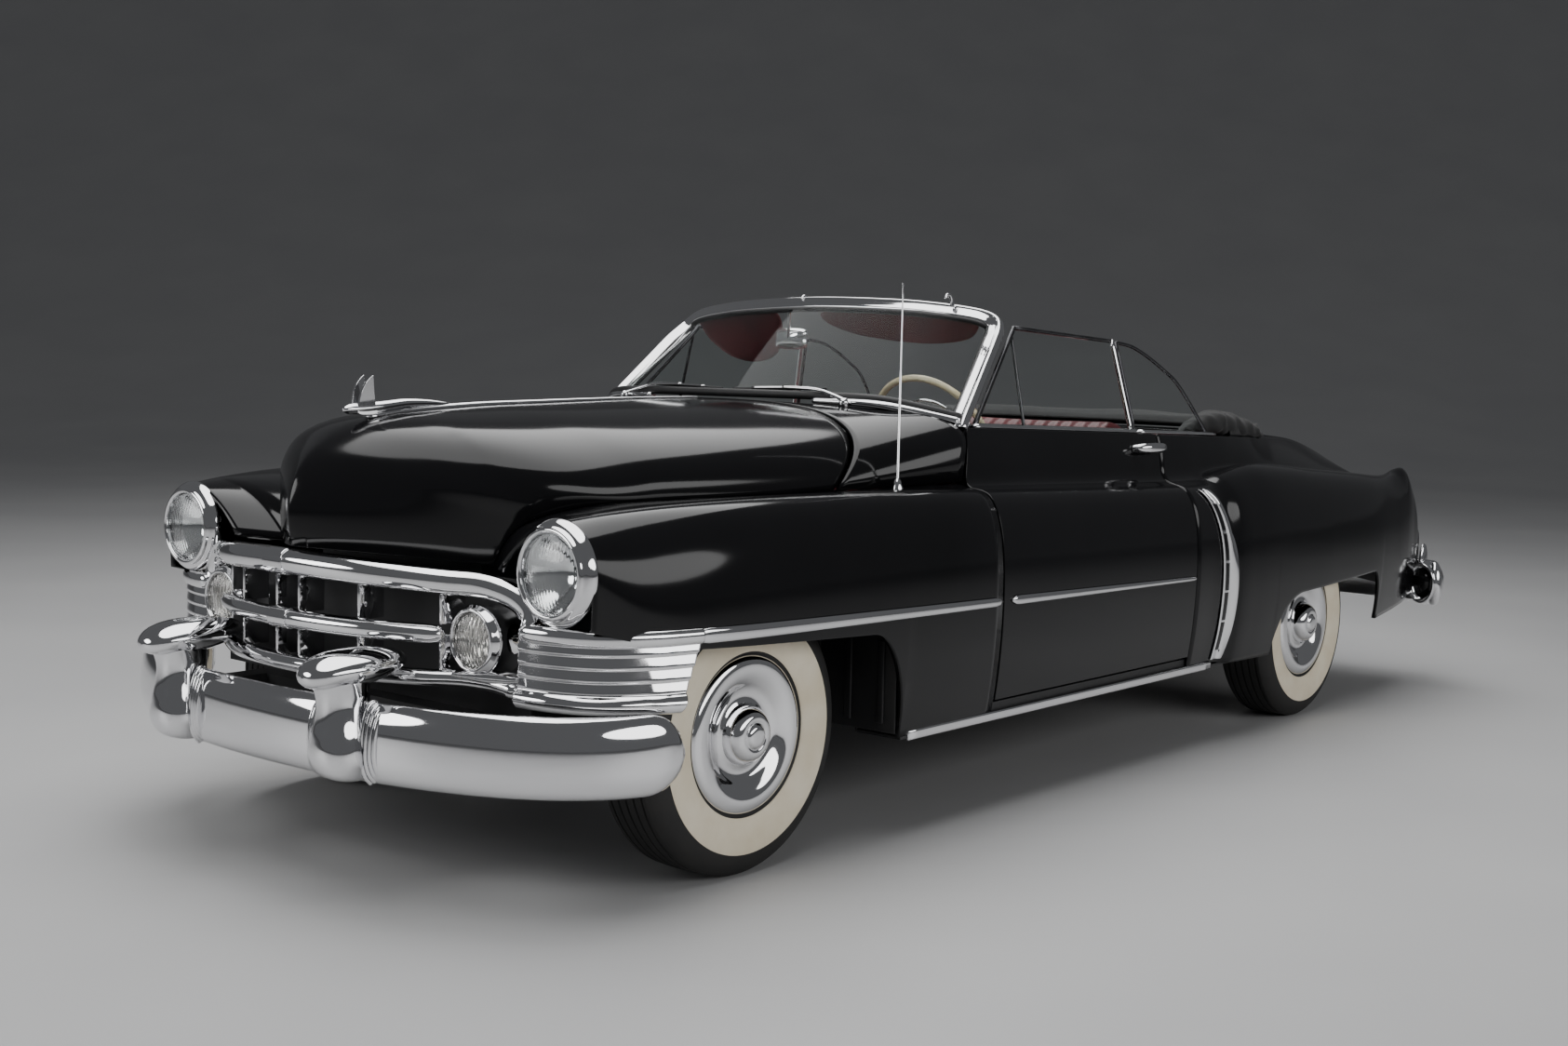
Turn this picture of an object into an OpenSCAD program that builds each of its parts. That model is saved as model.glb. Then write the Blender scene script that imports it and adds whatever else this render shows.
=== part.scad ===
// Two-door open tourer of the early 1950s, hood and top down, on whitewall tyres.
// X points forward, Y to the left and Z up; the origin is on the ground under the middle.

/* [Overall] */
// Length over the bumpers
overall_length = 5470; // [5300:10:5700]
// Distance between the axles
wheelbase = 3200; // [3150:10:3250]
// Front axle to the noses of the bumper guards
front_overhang = 980; // [960:5:1000]
// Half width of the front fenders and doors at the side strip
side_half_w = 966; // [950:1:980]
// How far the rear fenders stand out beyond the doors
rear_swell = 46; // [30:1:60]
// Height of the sill's lower edge above the ground
sill_z = 300; // [280:5:320]
// Height of the body's widest line
wide_z = 640; // [625:5:655]
// Height of the window sill at the middle of the car
belt_z = 1109; // [1100:1:1120]
// Rise of the window sill for each millimetre forward
belt_slope = 0.0265; // [0.02:0.0005:0.03]

/* [Doors and lids] */
// Front edge of the doors, behind the front axle
door_setback = 973; // [960:1:990]
// Length of the doors
door_length = 1182; // [1150:2:1200]
// Thickness of a door from its skin to its trim
door_depth = 80; // [60:1:90]
// Lower edge of the doors
door_bottom_z = 345; // [335:1:360]
// Gap round the doors, hood and trunk lid
shut_gap = 9; // [8:0.5:12]
// Thickness of the sheet panels
sheet = 4; // [3:0.5:5]

/* [Wheels] */
// Outer radius of the tyres
tyre_r = 365; // [355:1:375]
// Width of the tyres
tyre_w = 208; // [195:1:215]
// Radius where the tyre meets the rim
rim_r = 195; // [190:1:205]
// Distance between the front wheels' middles
front_track = 1500; // [1480:2:1520]
// Distance between the rear wheels' middles
rear_track = 1600; // [1590:2:1620]
// Kingpin's distance inboard of the wheel's middle
kingpin_inset = 60; // [55:1:70]
// Radius of the front spindles
spindle_r = 16; // [14:1:20]
// Running clearance on pins and spindles
pin_clear = 0.05; // [0.02:0.01:0.1]

/* [Lamps and brightwork] */
// Radius of the headlamp bezels
bezel_r = 122; // [115:1:128]
// Radius of the headlamp lenses
lens_r = 94; // [88:1:98]
// Radius of the fog lamps
fog_r = 78; // [70:1:84]
// Radius of the grille bars
bar_r = 24; // [20:1:28]
// Number of upright blades on each side of the grille
grille_blades = 3; // [3:1:6]
// Height of the front bumper bar
bumper_h = 180; // [160:2:200]
// Height of the middle of the front bumper bar
bumper_z = 398; // [380:2:410]

/* [Hidden] */
front_axle_x = overall_length / 2 - front_overhang;
rear_axle_x = front_axle_x - wheelbase;
door_front_x = front_axle_x - door_setback;
door_rear_x = door_front_x - door_length;
rear_half_w = side_half_w + rear_swell;
tail_x = -overall_length / 2;
touch = 0.3;

// Smooth tables
// A table's first column is the station; the other columns run through its rows as a cubic
function segment(tab, x, i = 0) = i >= len(tab) - 2 || x <= tab[i + 1][0] ? i : segment(tab, x, i + 1);
function slope(tab, i) = let (a = max(i - 1, 0), b = min(i + 1, len(tab) - 1))
    (tab[b] - tab[a]) / (tab[b][0] - tab[a][0]);
function row_at(tab, x) = let (i = segment(tab, x), h = tab[i + 1][0] - tab[i][0], t = (x - tab[i][0]) / h)
    (2 * t ^ 3 - 3 * t ^ 2 + 1) * tab[i] + (t ^ 3 - 2 * t ^ 2 + t) * h * slope(tab, i)
    + (3 * t ^ 2 - 2 * t ^ 3) * tab[i + 1] + (t ^ 3 - t ^ 2) * h * slope(tab, i + 1);
function mix(a, b, t) = a + (b - a) * t;
function steps(n) = [for (i = [0:n]) i / n];
function unit(v) = v / norm(v);

// A sheet between a grid of points and the same grid moved inwards
function grid_normal(g, i, j) = let (n = len(g) - 1, m = len(g[0]) - 1)
    unit(cross(g[min(i + 1, n)][j] - g[max(i - 1, 0)][j], g[i][min(j + 1, m)] - g[i][max(j - 1, 0)]));
function inner_grid(g, t) = [for (i = [0:len(g) - 1]) [for (j = [0:len(g[0]) - 1])
    g[i][j] - t * grid_normal(g, i, j)]];
function flat_foot(outer, inner) = [for (i = [0:len(inner) - 1]) [for (j = [0:len(inner[0]) - 1])
    j == 0 ? [inner[i][0].x, inner[i][0].y, outer[i][0].z] : inner[i][j]]];
function flat_ends(outer, inner) = let (n = len(inner) - 1) [for (i = [0:n]) [for (j = [0:len(inner[0]) - 1])
    i == 0 || i == n ? [outer[i][j].x, inner[i][j].y, inner[i][j].z] : inner[i][j]]];
module sheet_between(outer, inner) {
    n = len(outer);
    m = len(outer[0]);
    k = n * m;
    function at(i, j) = i * m + j;
    rim = concat([for (j = [0:m - 1]) at(0, j)], [for (i = [1:n - 1]) at(i, m - 1)],
        [for (j = [m - 2:-1:0]) at(n - 1, j)], [for (i = [n - 2:-1:1]) at(i, 0)]);
    polyhedron(
        [for (r = outer) each r, for (r = inner) each r],
        concat(
            [for (i = [0:n - 2], j = [0:m - 2]) each [
                [at(i, j), at(i, j + 1), at(i + 1, j + 1)], [at(i, j), at(i + 1, j + 1), at(i + 1, j)],
                [k + at(i, j), k + at(i + 1, j + 1), k + at(i, j + 1)],
                [k + at(i, j), k + at(i + 1, j), k + at(i + 1, j + 1)]]],
            [for (q = [0:len(rim) - 1]) let (a = rim[q], b = rim[(q + 1) % len(rim)]) each [
                [a, k + b, b], [a, k + a, k + b]]]));
}
// A solid through closed rings of points, capped at both ends
module loft(rings) {
    n = len(rings);
    m = len(rings[0]);
    polyhedron([for (r = rings) each r], concat(
        [for (i = [0:n - 2], j = [0:m - 1]) let (a = i * m + j, b = i * m + (j + 1) % m) each [
            [a, b, b + m], [a, b + m, a + m]]],
        [for (j = [1:m - 2]) each [[0, j + 1, j], [(n - 1) * m, (n - 1) * m + j, (n - 1) * m + j + 1]]]));
}
module both_sides() {
    children();
    mirror([0, 1, 0]) children();
}

// Body side
// Columns: station x, widest half width w, its height zw, crown y and z, inner edge y and z,
// top edge y and z, and the exponent of the shoulder's round (2 is an ellipse)
lamp_x = front_axle_x + 575;
lamp_y = 750;
lamp_z = 808;
cowl_corner_x = door_front_x + 348;
crown_z = wide_z + 326;
function belt(x) = belt_z + belt_slope * x;
// The seam that the hood and the fenders share, from the cowl to the nose; columns: station x, y and z
seam_gap = 10;
SEAM = [
    [cowl_corner_x, 699, crown_z - 9],
    [front_axle_x - 425, 682, crown_z - 17],
    [front_axle_x - 105, 645, crown_z - 21],
    [front_axle_x + 95, 616, crown_z - 21],
    [front_axle_x + 275, 585, crown_z - 23],
    [lamp_x - 175, 524, crown_z - 47],
    [lamp_x - 120, 470, crown_z - 84],
    [lamp_x - 101, 447, crown_z - 124],
    [lamp_x - 90, 430, crown_z - 174]];
FENDER = [
    [door_front_x, side_half_w, wide_z, 858, crown_z - 11, 812, crown_z, 786, belt(door_front_x), 2.5],
    [door_front_x + 118, side_half_w + 1, wide_z, 857, crown_z - 6, 775, crown_z - 2, 0, 0, 2.5],
    [cowl_corner_x, side_half_w + 2, wide_z, 855, crown_z - 2, 704, crown_z - 9, 0, 0, 2.5],
    [front_axle_x - 455, side_half_w + 2, wide_z, 852, crown_z, 686, crown_z - 15, 0, 0, 2.5],
    [front_axle_x, side_half_w, wide_z + 5, 845, crown_z, 660, crown_z - 25, 0, 0, 2.4],
    [front_axle_x + 245, side_half_w - 11, wide_z + 25, 828, crown_z - 6, 636, crown_z - 46, 0, 0, 2.3],
    [front_axle_x + 445, side_half_w - 48, wide_z + 80, 785, crown_z - 20, 612, crown_z - 90, 0, 0, 2.1],
    [lamp_x, lamp_y + bezel_r, lamp_z, lamp_y, lamp_z + bezel_r, 545, lamp_z + 5, 0, 0, 2]];
QUARTER = [
    [tail_x + 103, 872, 600, 838, 690, 760, 668, 545, 690, 2.4],
    [tail_x + 155, 886, 615, 846, 800, 762, 740, 548, 790, 2.4],
    [tail_x + 235, 903, 630, 852, 876, 766, 800, 552, 880, 2.4],
    [tail_x + 326, 925, wide_z, 856, 938, 768, 842, 556, 935, 2.4],
    [tail_x + 400, 940, wide_z, 856, 916, 752, 862, 562, 960, 2.4],
    [tail_x + 532, 958, wide_z, 850, 909, 730, 878, 575, 993, 2.4],
    [rear_axle_x - 455, rear_half_w - 24, wide_z + 10, 848, 930, 742, 902, 612, 1045, 2.4],
    [rear_axle_x, rear_half_w - 3, wide_z + 15, 850, 961, 772, 936, 690, 1074, 2.4],
    [rear_axle_x + 245, rear_half_w, wide_z + 15, 852, 980, 788, 952, 748, 1079, 2.4],
    [rear_axle_x + 495, rear_half_w - 2, wide_z + 15, 856, 989, 798, 962, 776, belt(-950), 2.4],
    [rear_axle_x + 645, rear_half_w - 8, wide_z + 10, 860, 975, 804, 960, 781, belt(-800), 2.4],
    [rear_axle_x + 770, side_half_w + 26, wide_z + 5, 862, 950, 808, 956, 784, belt(-675), 2.5],
    [rear_axle_x + 815, side_half_w + 1, wide_z, 862, 930, 810, 956, 785, belt(-630), 2.5],
    [door_rear_x, side_half_w, wide_z, 862, 928, 812, 957, 786, belt(door_rear_x), 2.5],
    [door_front_x, side_half_w, wide_z, 858, crown_z - 11, 812, crown_z, 786, belt(door_front_x), 2.5]];
sill_tuck = 30;
// A fender's row with the seam as its inner edge, which runs out to the lamp over the last stretch
function fender_edge(x) = let (front = SEAM[len(SEAM) - 1] + [0, seam_gap / 2, 0])
    x > front.x ? mix(front, [lamp_x, 545, lamp_z - 8], (x - front.x) / (lamp_x - front.x)) : row_at(SEAM, x) + [0, seam_gap / 2, 0];
function fender_row(x) = let (r = row_at(FENDER, x), e = fender_edge(x))
    x <= cowl_corner_x ? r : [r[0], r[1], r[2], r[3], r[4], e.y, e.z, 0, 0, r[9]];
function low_y(r, z) = r[1] - sill_tuck * max(0, (r[2] - z) / (wide_z - sill_z)) ^ 2;
function shoulder(r, a) = [r[0], r[3] + (r[1] - r[3]) * cos(a) ^ (2 / r[9]), r[2] + (r[4] - r[2]) * sin(a) ^ (2 / r[9])];
LOW_STEPS = [0, 0.35, 0.7, 1];
SHOULDER_ANGLES = [14, 30, 47, 64, 78, 90];
INNER_STEPS = [0.35, 0.7, 1];
UPPER_STEPS = [0.15, 0.4, 0.7, 1];
function lower_part(r, foot) = [for (t = LOW_STEPS) let (z = mix(foot, r[2], t)) [r[0], low_y(r, z), z]];
function inner_part(r) = [for (t = INNER_STEPS) [r[0], mix(r[3], r[5], t), mix(r[4], r[6], t * t)]];
function upper_part(r) = [for (t = UPPER_STEPS)
    [r[0], mix(r[5], r[7], t) + 7 * sin(180 * t), mix(r[6], r[8], t)]];
function shoulder_part(r) = [for (a = SHOULDER_ANGLES) shoulder(r, a)];
function fender_section(r, foot) = concat(lower_part(r, foot), shoulder_part(r), inner_part(r));
function side_section(r, foot) = concat(fender_section(r, foot), upper_part(r));

// Wheel openings
arch_rear_x = front_axle_x - 515;
arch_top_z = wide_z - 40;
arch_round = 160;
arch_front_x = front_axle_x + 290;
function fender_foot(x) =
    x <= arch_rear_x ? sill_z
    : x < arch_rear_x + arch_round
        ? sill_z + (arch_top_z - sill_z) * sqrt(1 - ((arch_rear_x + arch_round - x) / arch_round) ^ 2)
    : x < arch_front_x ? mix(arch_top_z, wide_z - 14, (x - arch_rear_x - arch_round) / (arch_front_x - arch_rear_x - arch_round))
    : mix(wide_z - 14, lamp_z - bezel_r - 4, ((x - arch_front_x) / (lamp_x - arch_front_x)) ^ 1.5);
FENDER_STATIONS = [lamp_x, lamp_x - 45, lamp_x - 90, lamp_x - 101, lamp_x - 120, lamp_x - 145, lamp_x - 175, lamp_x - 230, arch_front_x, front_axle_x + 145, front_axle_x,
    front_axle_x - 135, front_axle_x - 255, arch_rear_x + arch_round, arch_rear_x + 120, arch_rear_x + 80,
    arch_rear_x + 45, arch_rear_x + 20, arch_rear_x + 6, arch_rear_x, cowl_corner_x, door_front_x + 228,
    door_front_x + 118, door_front_x + shut_gap];
skirt_front_x = rear_axle_x + 485;
skirt_round = 230;
skirt_top_z = 516;
skirt_rear_x = rear_axle_x - 530;
skirt_rear_round = 85;
tail_foot_z = 338;
function quarter_foot(x) =
    x >= skirt_front_x ? sill_z
    : x > skirt_front_x - skirt_round
        ? sill_z + (skirt_top_z - sill_z) * sqrt(1 - ((x - skirt_front_x + skirt_round) / skirt_round) ^ 2)
    : x > skirt_rear_x + skirt_rear_round
        ? mix(skirt_top_z, skirt_top_z + 24, (skirt_front_x - skirt_round - x) / (skirt_front_x - skirt_round - skirt_rear_x - skirt_rear_round))
    : x > skirt_rear_x
        ? tail_foot_z + (skirt_top_z + 24 - tail_foot_z) * sqrt(1 - ((skirt_rear_x + skirt_rear_round - x) / skirt_rear_round) ^ 2)
    : mix(tail_foot_z, tail_foot_z + 60, (skirt_rear_x - x) / (skirt_rear_x - tail_x));
QUARTER_STATIONS = [door_rear_x - shut_gap, door_rear_x - 100, door_rear_x - 220, rear_axle_x + 790, rear_axle_x + 760,
    rear_axle_x + 700, rear_axle_x + 600, skirt_front_x, skirt_front_x - 6, skirt_front_x - 25, skirt_front_x - 60,
    skirt_front_x - 110, skirt_front_x - 165, skirt_front_x - skirt_round, rear_axle_x + 100, rear_axle_x - 60,
    rear_axle_x - 250, skirt_rear_x + skirt_rear_round, skirt_rear_x + 40, skirt_rear_x + 15, skirt_rear_x + 3,
    skirt_rear_x, tail_x + 640, tail_x + 532, tail_x + 430, tail_x + 370, tail_x + 326, tail_x + 280, tail_x + 235,
    tail_x + 175, tail_x + 130, tail_x + 103];

module front_fender() {
    outer = [for (x = FENDER_STATIONS) fender_section(fender_row(x), fender_foot(x))];
    color("black") sheet_between(outer, flat_ends(outer, flat_foot(outer, inner_grid(outer, sheet))));
}
module quarter() {
    outer = [for (x = QUARTER_STATIONS) side_section(row_at(QUARTER, x), quarter_foot(x))];
    color("black") sheet_between(outer, flat_ends(outer, flat_foot(outer, inner_grid(outer, sheet))));
}

// Doors
hinge_x = door_front_x - 12;
hinge_y = side_half_w - 14;
hinge_pin_r = 4;
hinge_lugs_z = [wide_z - 80, wide_z + 80];
hinge_lug_h = 30;
hinge_pocket_h = 56;
shut_face_taper = 42;
DOOR_STATIONS = [for (t = steps(8)) t];
function door_edge(z) = door_front_x - 40 * (max(0, z - 866) / 250) ^ 2;
module door_skin() {
    outer = [for (t = DOOR_STATIONS) let (x = mix(door_front_x, door_rear_x, t))
        [for (p = side_section(row_at(QUARTER, x), door_bottom_z)) [mix(door_edge(p.z), door_rear_x, t), p.y, p.z]]];
    n = len(outer[0]);
    inner = [for (i = [0:len(outer) - 1]) let (t = DOOR_STATIONS[i]) [for (j = [0:n - 1]) let (p = outer[i][j])
        [mix(door_edge(p.z) - shut_face_taper, door_rear_x + shut_face_taper, t), min(p.y, 880) - door_depth, p.z]]];
    sheet_between(outer, inner);
}
module door() {
    color("black") difference() {
        union() {
            difference() {
                door_skin();
                for (z = hinge_lugs_z)
                    translate([hinge_x - 20, hinge_y - 100, z - hinge_pocket_h / 2]) cube([60, 106, hinge_pocket_h]);
            }
            for (z = hinge_lugs_z) {
                translate([hinge_x, hinge_y, z - hinge_lug_h / 2]) cylinder(r = hinge_pin_r + 5, h = hinge_lug_h);
                translate([hinge_x - 26, hinge_y - 5, z - hinge_lug_h / 2]) cube([22, 12, hinge_lug_h]);
            }
        }
        for (z = hinge_lugs_z)
            translate([hinge_x, hinge_y, z - hinge_lug_h]) cylinder(r = hinge_pin_r + pin_clear, h = 2 * hinge_lug_h);
    }
}

// Hood
// Columns: row, centre x and z, station x of its edge on the seam, and the exponent of the crown's round (1 is a wedge)
hood_rear_x = door_front_x + 228;
HOOD_FORM = [
    [0, lamp_x + 192, 822, lamp_x - 90, 1.12],
    [1, lamp_x + 203, 868, lamp_x - 97, 1.12],
    [2, lamp_x + 202, 940, lamp_x - 108, 1.14],
    [3, lamp_x + 175, 1015, lamp_x - 135, 1.22],
    [4, lamp_x + 108, 1080, lamp_x - 190, 1.45],
    [5, lamp_x - 30, 1140, lamp_x - 310, 1.85],
    [6, front_axle_x + 245, 1168, front_axle_x + 95, 2.25],
    [7, front_axle_x - 55, 1180, front_axle_x - 105, 2.45],
    [8, front_axle_x - 415, 1191, front_axle_x - 425, 2.5],
    [9, hood_rear_x, 1196, cowl_corner_x + 4, 2.5]];
// Columns: row, centre x and z, edge x, y and z, exponent
HOOD = [for (r = HOOD_FORM) let (e = row_at(SEAM, r[3])) [r[0], r[1], r[2], e.x, e.y - seam_gap / 2, e.z, r[4]]];
crown_round = 2.5;
function arched(r, a, p = crown_round) = let (c = cos(abs(a)) ^ (2 / p), s = sin(abs(a)) ^ (2 / p))
    [mix(r[3], r[1], c), sign(a) * r[4] * s, mix(r[5], r[2], c)];
HOOD_ANGLES = [-90, -76, -60, -44, -28, -13, 0, 13, 28, 44, 60, 76, 90];
HOOD_ROWS = [0, 0.5, 1, 1.5, 2, 2.5, 3, 3.5, 4, 4.5, 5, 5.6, 6.3, 7, 8, 9];
hood_pin_r = 5;
hood_hinge = [hood_rear_x - 30, 130, 1196 - 20];
lug_w = 14;
module hood() {
    outer = [for (u = HOOD_ROWS) let (r = row_at(HOOD, u)) [for (a = HOOD_ANGLES) arched(r, -a, r[6])]];
    color("black") difference() {
        union() {
            sheet_between(outer, inner_grid(outer, sheet));
            both_sides() translate(hood_hinge + [0, lug_w, 0]) rotate([90, 0, 0]) {
                cylinder(r = hood_pin_r + 4, h = lug_w);
                linear_extrude(lug_w) polygon([[-6, -6], [20, -38], [66, -38], [90, 2], [90, 16], [58, 16], [52, -22],
                    [30, -22], [7, 5]]);
            }
        }
        both_sides() translate(hood_hinge + [0, 2 * lug_w, 0]) rotate([90, 0, 0])
            cylinder(r = hood_pin_r + pin_clear, h = 3 * lug_w);
    }
}

// Cowl between the hood and the windshield
// Columns: row, centre x and z, edge x, y and z
screen_base_x = door_front_x + 150;
screen_base_z = 1186;
cowl_square = 5;
COWL_FRONT = [0, hood_rear_x - shut_gap, 1196, cowl_corner_x - shut_gap, 706, 958];
COWL_REAR = [0, screen_base_x - 10, screen_base_z, door_front_x + shut_gap, 806, 972];
COWL_ANGLES = [-90, -86, -80, -70, -57, -44, -28, -13, 0, 13, 28, 44, 57, 70, 80, 86, 90];
function cowl_rear(a) = let (p = arched(COWL_REAR, a, cowl_square))
    [max(COWL_REAR[1] - 168 * (abs(p.y) / 786) ^ 2.2, door_edge(p.z) + shut_gap), p.y, p.z];
function cowl_at(u, a) = mix(arched(COWL_FRONT, a), cowl_rear(a), u);
module cowl() {
    outer = [for (u = steps(4)) [for (a = COWL_ANGLES) cowl_at(u, -a)]];
    color("black") sheet_between(outer, inner_grid(outer, sheet));
}

// Trunk lid, tonneau and tail
// Columns: row, centre x and z, edge x, y and z
LID = [
    [0, rear_axle_x - 45, 1094, rear_axle_x - 45, 668, 1074],
    [1, rear_axle_x - 455, 1066, rear_axle_x - 455, 602, 1046],
    [2, tail_x + 532, 1012, tail_x + 532, 565, 995],
    [3, tail_x + 326, 952, tail_x + 326, 547, 937],
    [4, tail_x + 215, 886, tail_x + 235, 543, 876],
    [5, tail_x + 140, 794, tail_x + 160, 538, 788],
    [6, tail_x + 108, 694, tail_x + 108, 534, 692]];
LID_ANGLES = [-90, -66, -44, -22, 0, 22, 44, 66, 90];
lid_hinge = [rear_axle_x - 45 + 30, 300, 1094 - 20];
module trunk_lid() {
    outer = [for (u = steps(10)) [for (a = LID_ANGLES) let (p = arched(row_at(LID, 6 * u), a)) [p.x, -p.y, p.z]]];
    color("black") difference() {
        union() {
            sheet_between(outer, inner_grid(outer, sheet));
            both_sides() translate(lid_hinge + [0, lug_w, 0]) rotate([90, 0, 0]) {
                cylinder(r = hood_pin_r + 4, h = lug_w);
                linear_extrude(lug_w) polygon([[7, -5], [-4, -40], [-66, -40], [-90, 4], [-90, 13], [-60, 12], [-53, -22],
                    [-22, -22], [-8, 2]]);
            }
        }
        both_sides() translate(lid_hinge + [0, 2 * lug_w, 0]) rotate([90, 0, 0])
            cylinder(r = hood_pin_r + pin_clear, h = 3 * lug_w);
    }
}
cabin_rear_x = -1010;
module rear_deck() {
    top = [for (t = steps(4)) let (x = mix(cabin_rear_x, rear_axle_x - 45 + shut_gap, t))
        [for (a = LID_ANGLES) deck_at(x, -a, 0)]];
    color("black") sheet_between(top, inner_grid(top, sheet));
}
plate_hole_pitch = 178;
plate_hole_r = 3.5;
plate_z = 600;
module tail_panel() {
    end = side_section(row_at(QUARTER, tail_x + 103), quarter_foot(tail_x + 103));
    half = concat([[0, 510], [740, 510]], [for (p = end) [p.y, p.z]], [[545, 692 - shut_gap], [0, 692 - shut_gap]]);
    color("black") translate([tail_x + 96, 0, 0]) difference() {
        both_sides() rotate([90, 0, 90]) linear_extrude(6.6) polygon(half);
        for (y = [-plate_hole_pitch / 2, plate_hole_pitch / 2])
            translate([-10, y, plate_z]) rotate([0, 90, 0]) cylinder(r = plate_hole_r, h = 30);
    }
}

// Bars swept along a path
// A section is listed as offsets [out, up], clockwise; the path runs with its outer side on the left
function path_out(p, i) = let (a = p[max(i - 1, 0)], b = p[min(i + 1, len(p) - 1)], t = unit([b.x - a.x, b.y - a.y, 0]))
    [-t.y, t.x, 0];
function swept(p, section) = [for (i = [0:len(p) - 1]) let (n = path_out(p, i))
    [for (s = section) p[i] + s[0] * n + [0, 0, s[1]]]];
function oval(a, b, n) = [for (k = [0:n - 1]) [a * cos(360 * k / n), -b * sin(360 * k / n)]];
function tube_ring(p, i, r, n, hint) = let (a = p[max(i - 1, 0)], b = p[min(i + 1, len(p) - 1)], t = unit(b - a),
    s = unit(cross(t, hint)), u = cross(s, t))
    [for (k = [0:n - 1]) p[i] - r * (cos(360 * k / n) * s + sin(360 * k / n) * u)];
module tube(p, r, n = 8, hint = [0, 0, 1]) { loft([for (i = [0:len(p) - 1]) tube_ring(p, i, r, n, hint)]); }
module rod(from, to, r) {
    d = to - from;
    translate(from) rotate([0, acos(d.z / norm(d)), atan2(d.y, d.x)]) cylinder(r = r, h = norm(d));
}
module box(a, b) { translate(a) cube(b - a); }

// Chassis
rail_in = 360;
rail_out = 430;
rail_z = 330;
rail_top = 440;
kick_z = 482;
kick_top = 592;
module rail() {
    translate([0, rail_out, 0]) rotate([90, 0, 0]) linear_extrude(rail_out - rail_in) polygon([
        [front_axle_x + 700, rail_z], [front_axle_x + 700, rail_top], [rear_axle_x + 485, rail_top],
        [rear_axle_x + 290, kick_top], [rear_axle_x - 300, kick_top], [rear_axle_x - 560, rail_top + 60],
        [tail_x + 250, rail_top + 60], [tail_x + 250, rail_z + 70], [rear_axle_x - 530, rail_z + 70],
        [rear_axle_x - 270, kick_z], [rear_axle_x + 260, kick_z], [rear_axle_x + 530, rail_z]]);
}
module chassis_frame() {
    color("dimgray") union() {
        both_sides() rail();
        for (x = [front_axle_x + 560, 420, -520])
            box([x - 40, -rail_in - 1, rail_top - 34], [x + 40, rail_in + 1, rail_top]);
        box([tail_x + 300, -rail_in - 1, rail_z + 80], [tail_x + 360, rail_in + 1, rail_top + 60]);
        both_sides() box([700, rail_in + 5, rail_z - 25], [800, rail_out - 5, rail_z + 1]);
        both_sides() box([-800, rail_in + 5, rail_z - 25], [-700, rail_out - 5, rail_z + 1]);
        both_sides() for (x = [740, -340]) box([x - 30, rail_out - 1, rail_top - 40], [x + 30, sill_in, rail_top]);
    }
}

// Floor, sills, pillars and firewall
floor_z = rail_top;
floor_t = 6;
sill_in = 782;
fire_x = front_axle_x - 745;
module door_pivot(z) {
    lift = hinge_lug_h / 2 + 1;
    translate([hinge_x, hinge_y, z - lift - 6]) cylinder(r = hinge_pin_r, h = 2 * lift + 6);
    translate([hinge_x, hinge_y, z - lift - 6]) linear_extrude(6)
        polygon([[-4, 0], [0, 4], [4, 0], [20, -62], [8, -62]]);
}
module lid_pivot(at, foot, front) {
    translate(at + [0, -1, 0]) rotate([-90, 0, 0]) cylinder(r = hood_pin_r, h = lug_w + 8);
    box([at.x - 7, at.y + lug_w + 1, foot], [at.x + max(7, front + 12), at.y + lug_w + 7, at.z - 12]);
    box([at.x - 7, at.y + lug_w + 1, foot], [at.x + 7, at.y + lug_w + 7, at.z + 6]);
}
module floor_pan() {
    color("gray") union() {
        box([rear_axle_x + 500, -sill_in + touch, floor_z], [fire_x - 6 - touch, sill_in - touch, floor_z + floor_t]);
        box([rear_axle_x + 494, -600, floor_z], [rear_axle_x + 501, 600, kick_top + floor_t]);
    }
}
module trunk_pan() {
    color("gray") union() {
        box([tail_x + 300, -600, kick_top], [rear_axle_x + 494 - touch, 600, kick_top + floor_t]);
        both_sides() {
            box([tail_x + 300, 594, kick_top], [rear_axle_x + 380, 600, 850]);
            lid_pivot(lid_hinge, kick_top, -6);
        }
    }
}
module firewall() {
    color("gray") union() {
        box([fire_x - 6, -690, floor_z], [fire_x, 690, 940]);
        both_sides() {
            box([door_front_x - 32, 684, floor_z + floor_t + touch], [fire_x, 690, 1010]);
            lid_pivot(hood_hinge, 900, 14);
        }
    }
}
module side_sill() {
    color("gray") union() {
        box([skirt_front_x + 6, sill_in, sill_z - 8], [arch_rear_x - 6, sill_in + 8, floor_z + floor_t]);
        box([skirt_front_x + 6, sill_in, sill_z - 8], [arch_rear_x - 6, 938, sill_z]);
        box([door_rear_x - 6, sill_in, sill_z - 8], [door_front_x + 6, 928, door_bottom_z - shut_gap]);
        box([door_front_x - 6, sill_in, sill_z], [door_front_x + 60, 900, 905]);
        box([door_rear_x - 62, sill_in, sill_z], [door_rear_x - 20, 900, 880]);
        for (z = hinge_lugs_z) door_pivot(z);
    }
}

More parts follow.
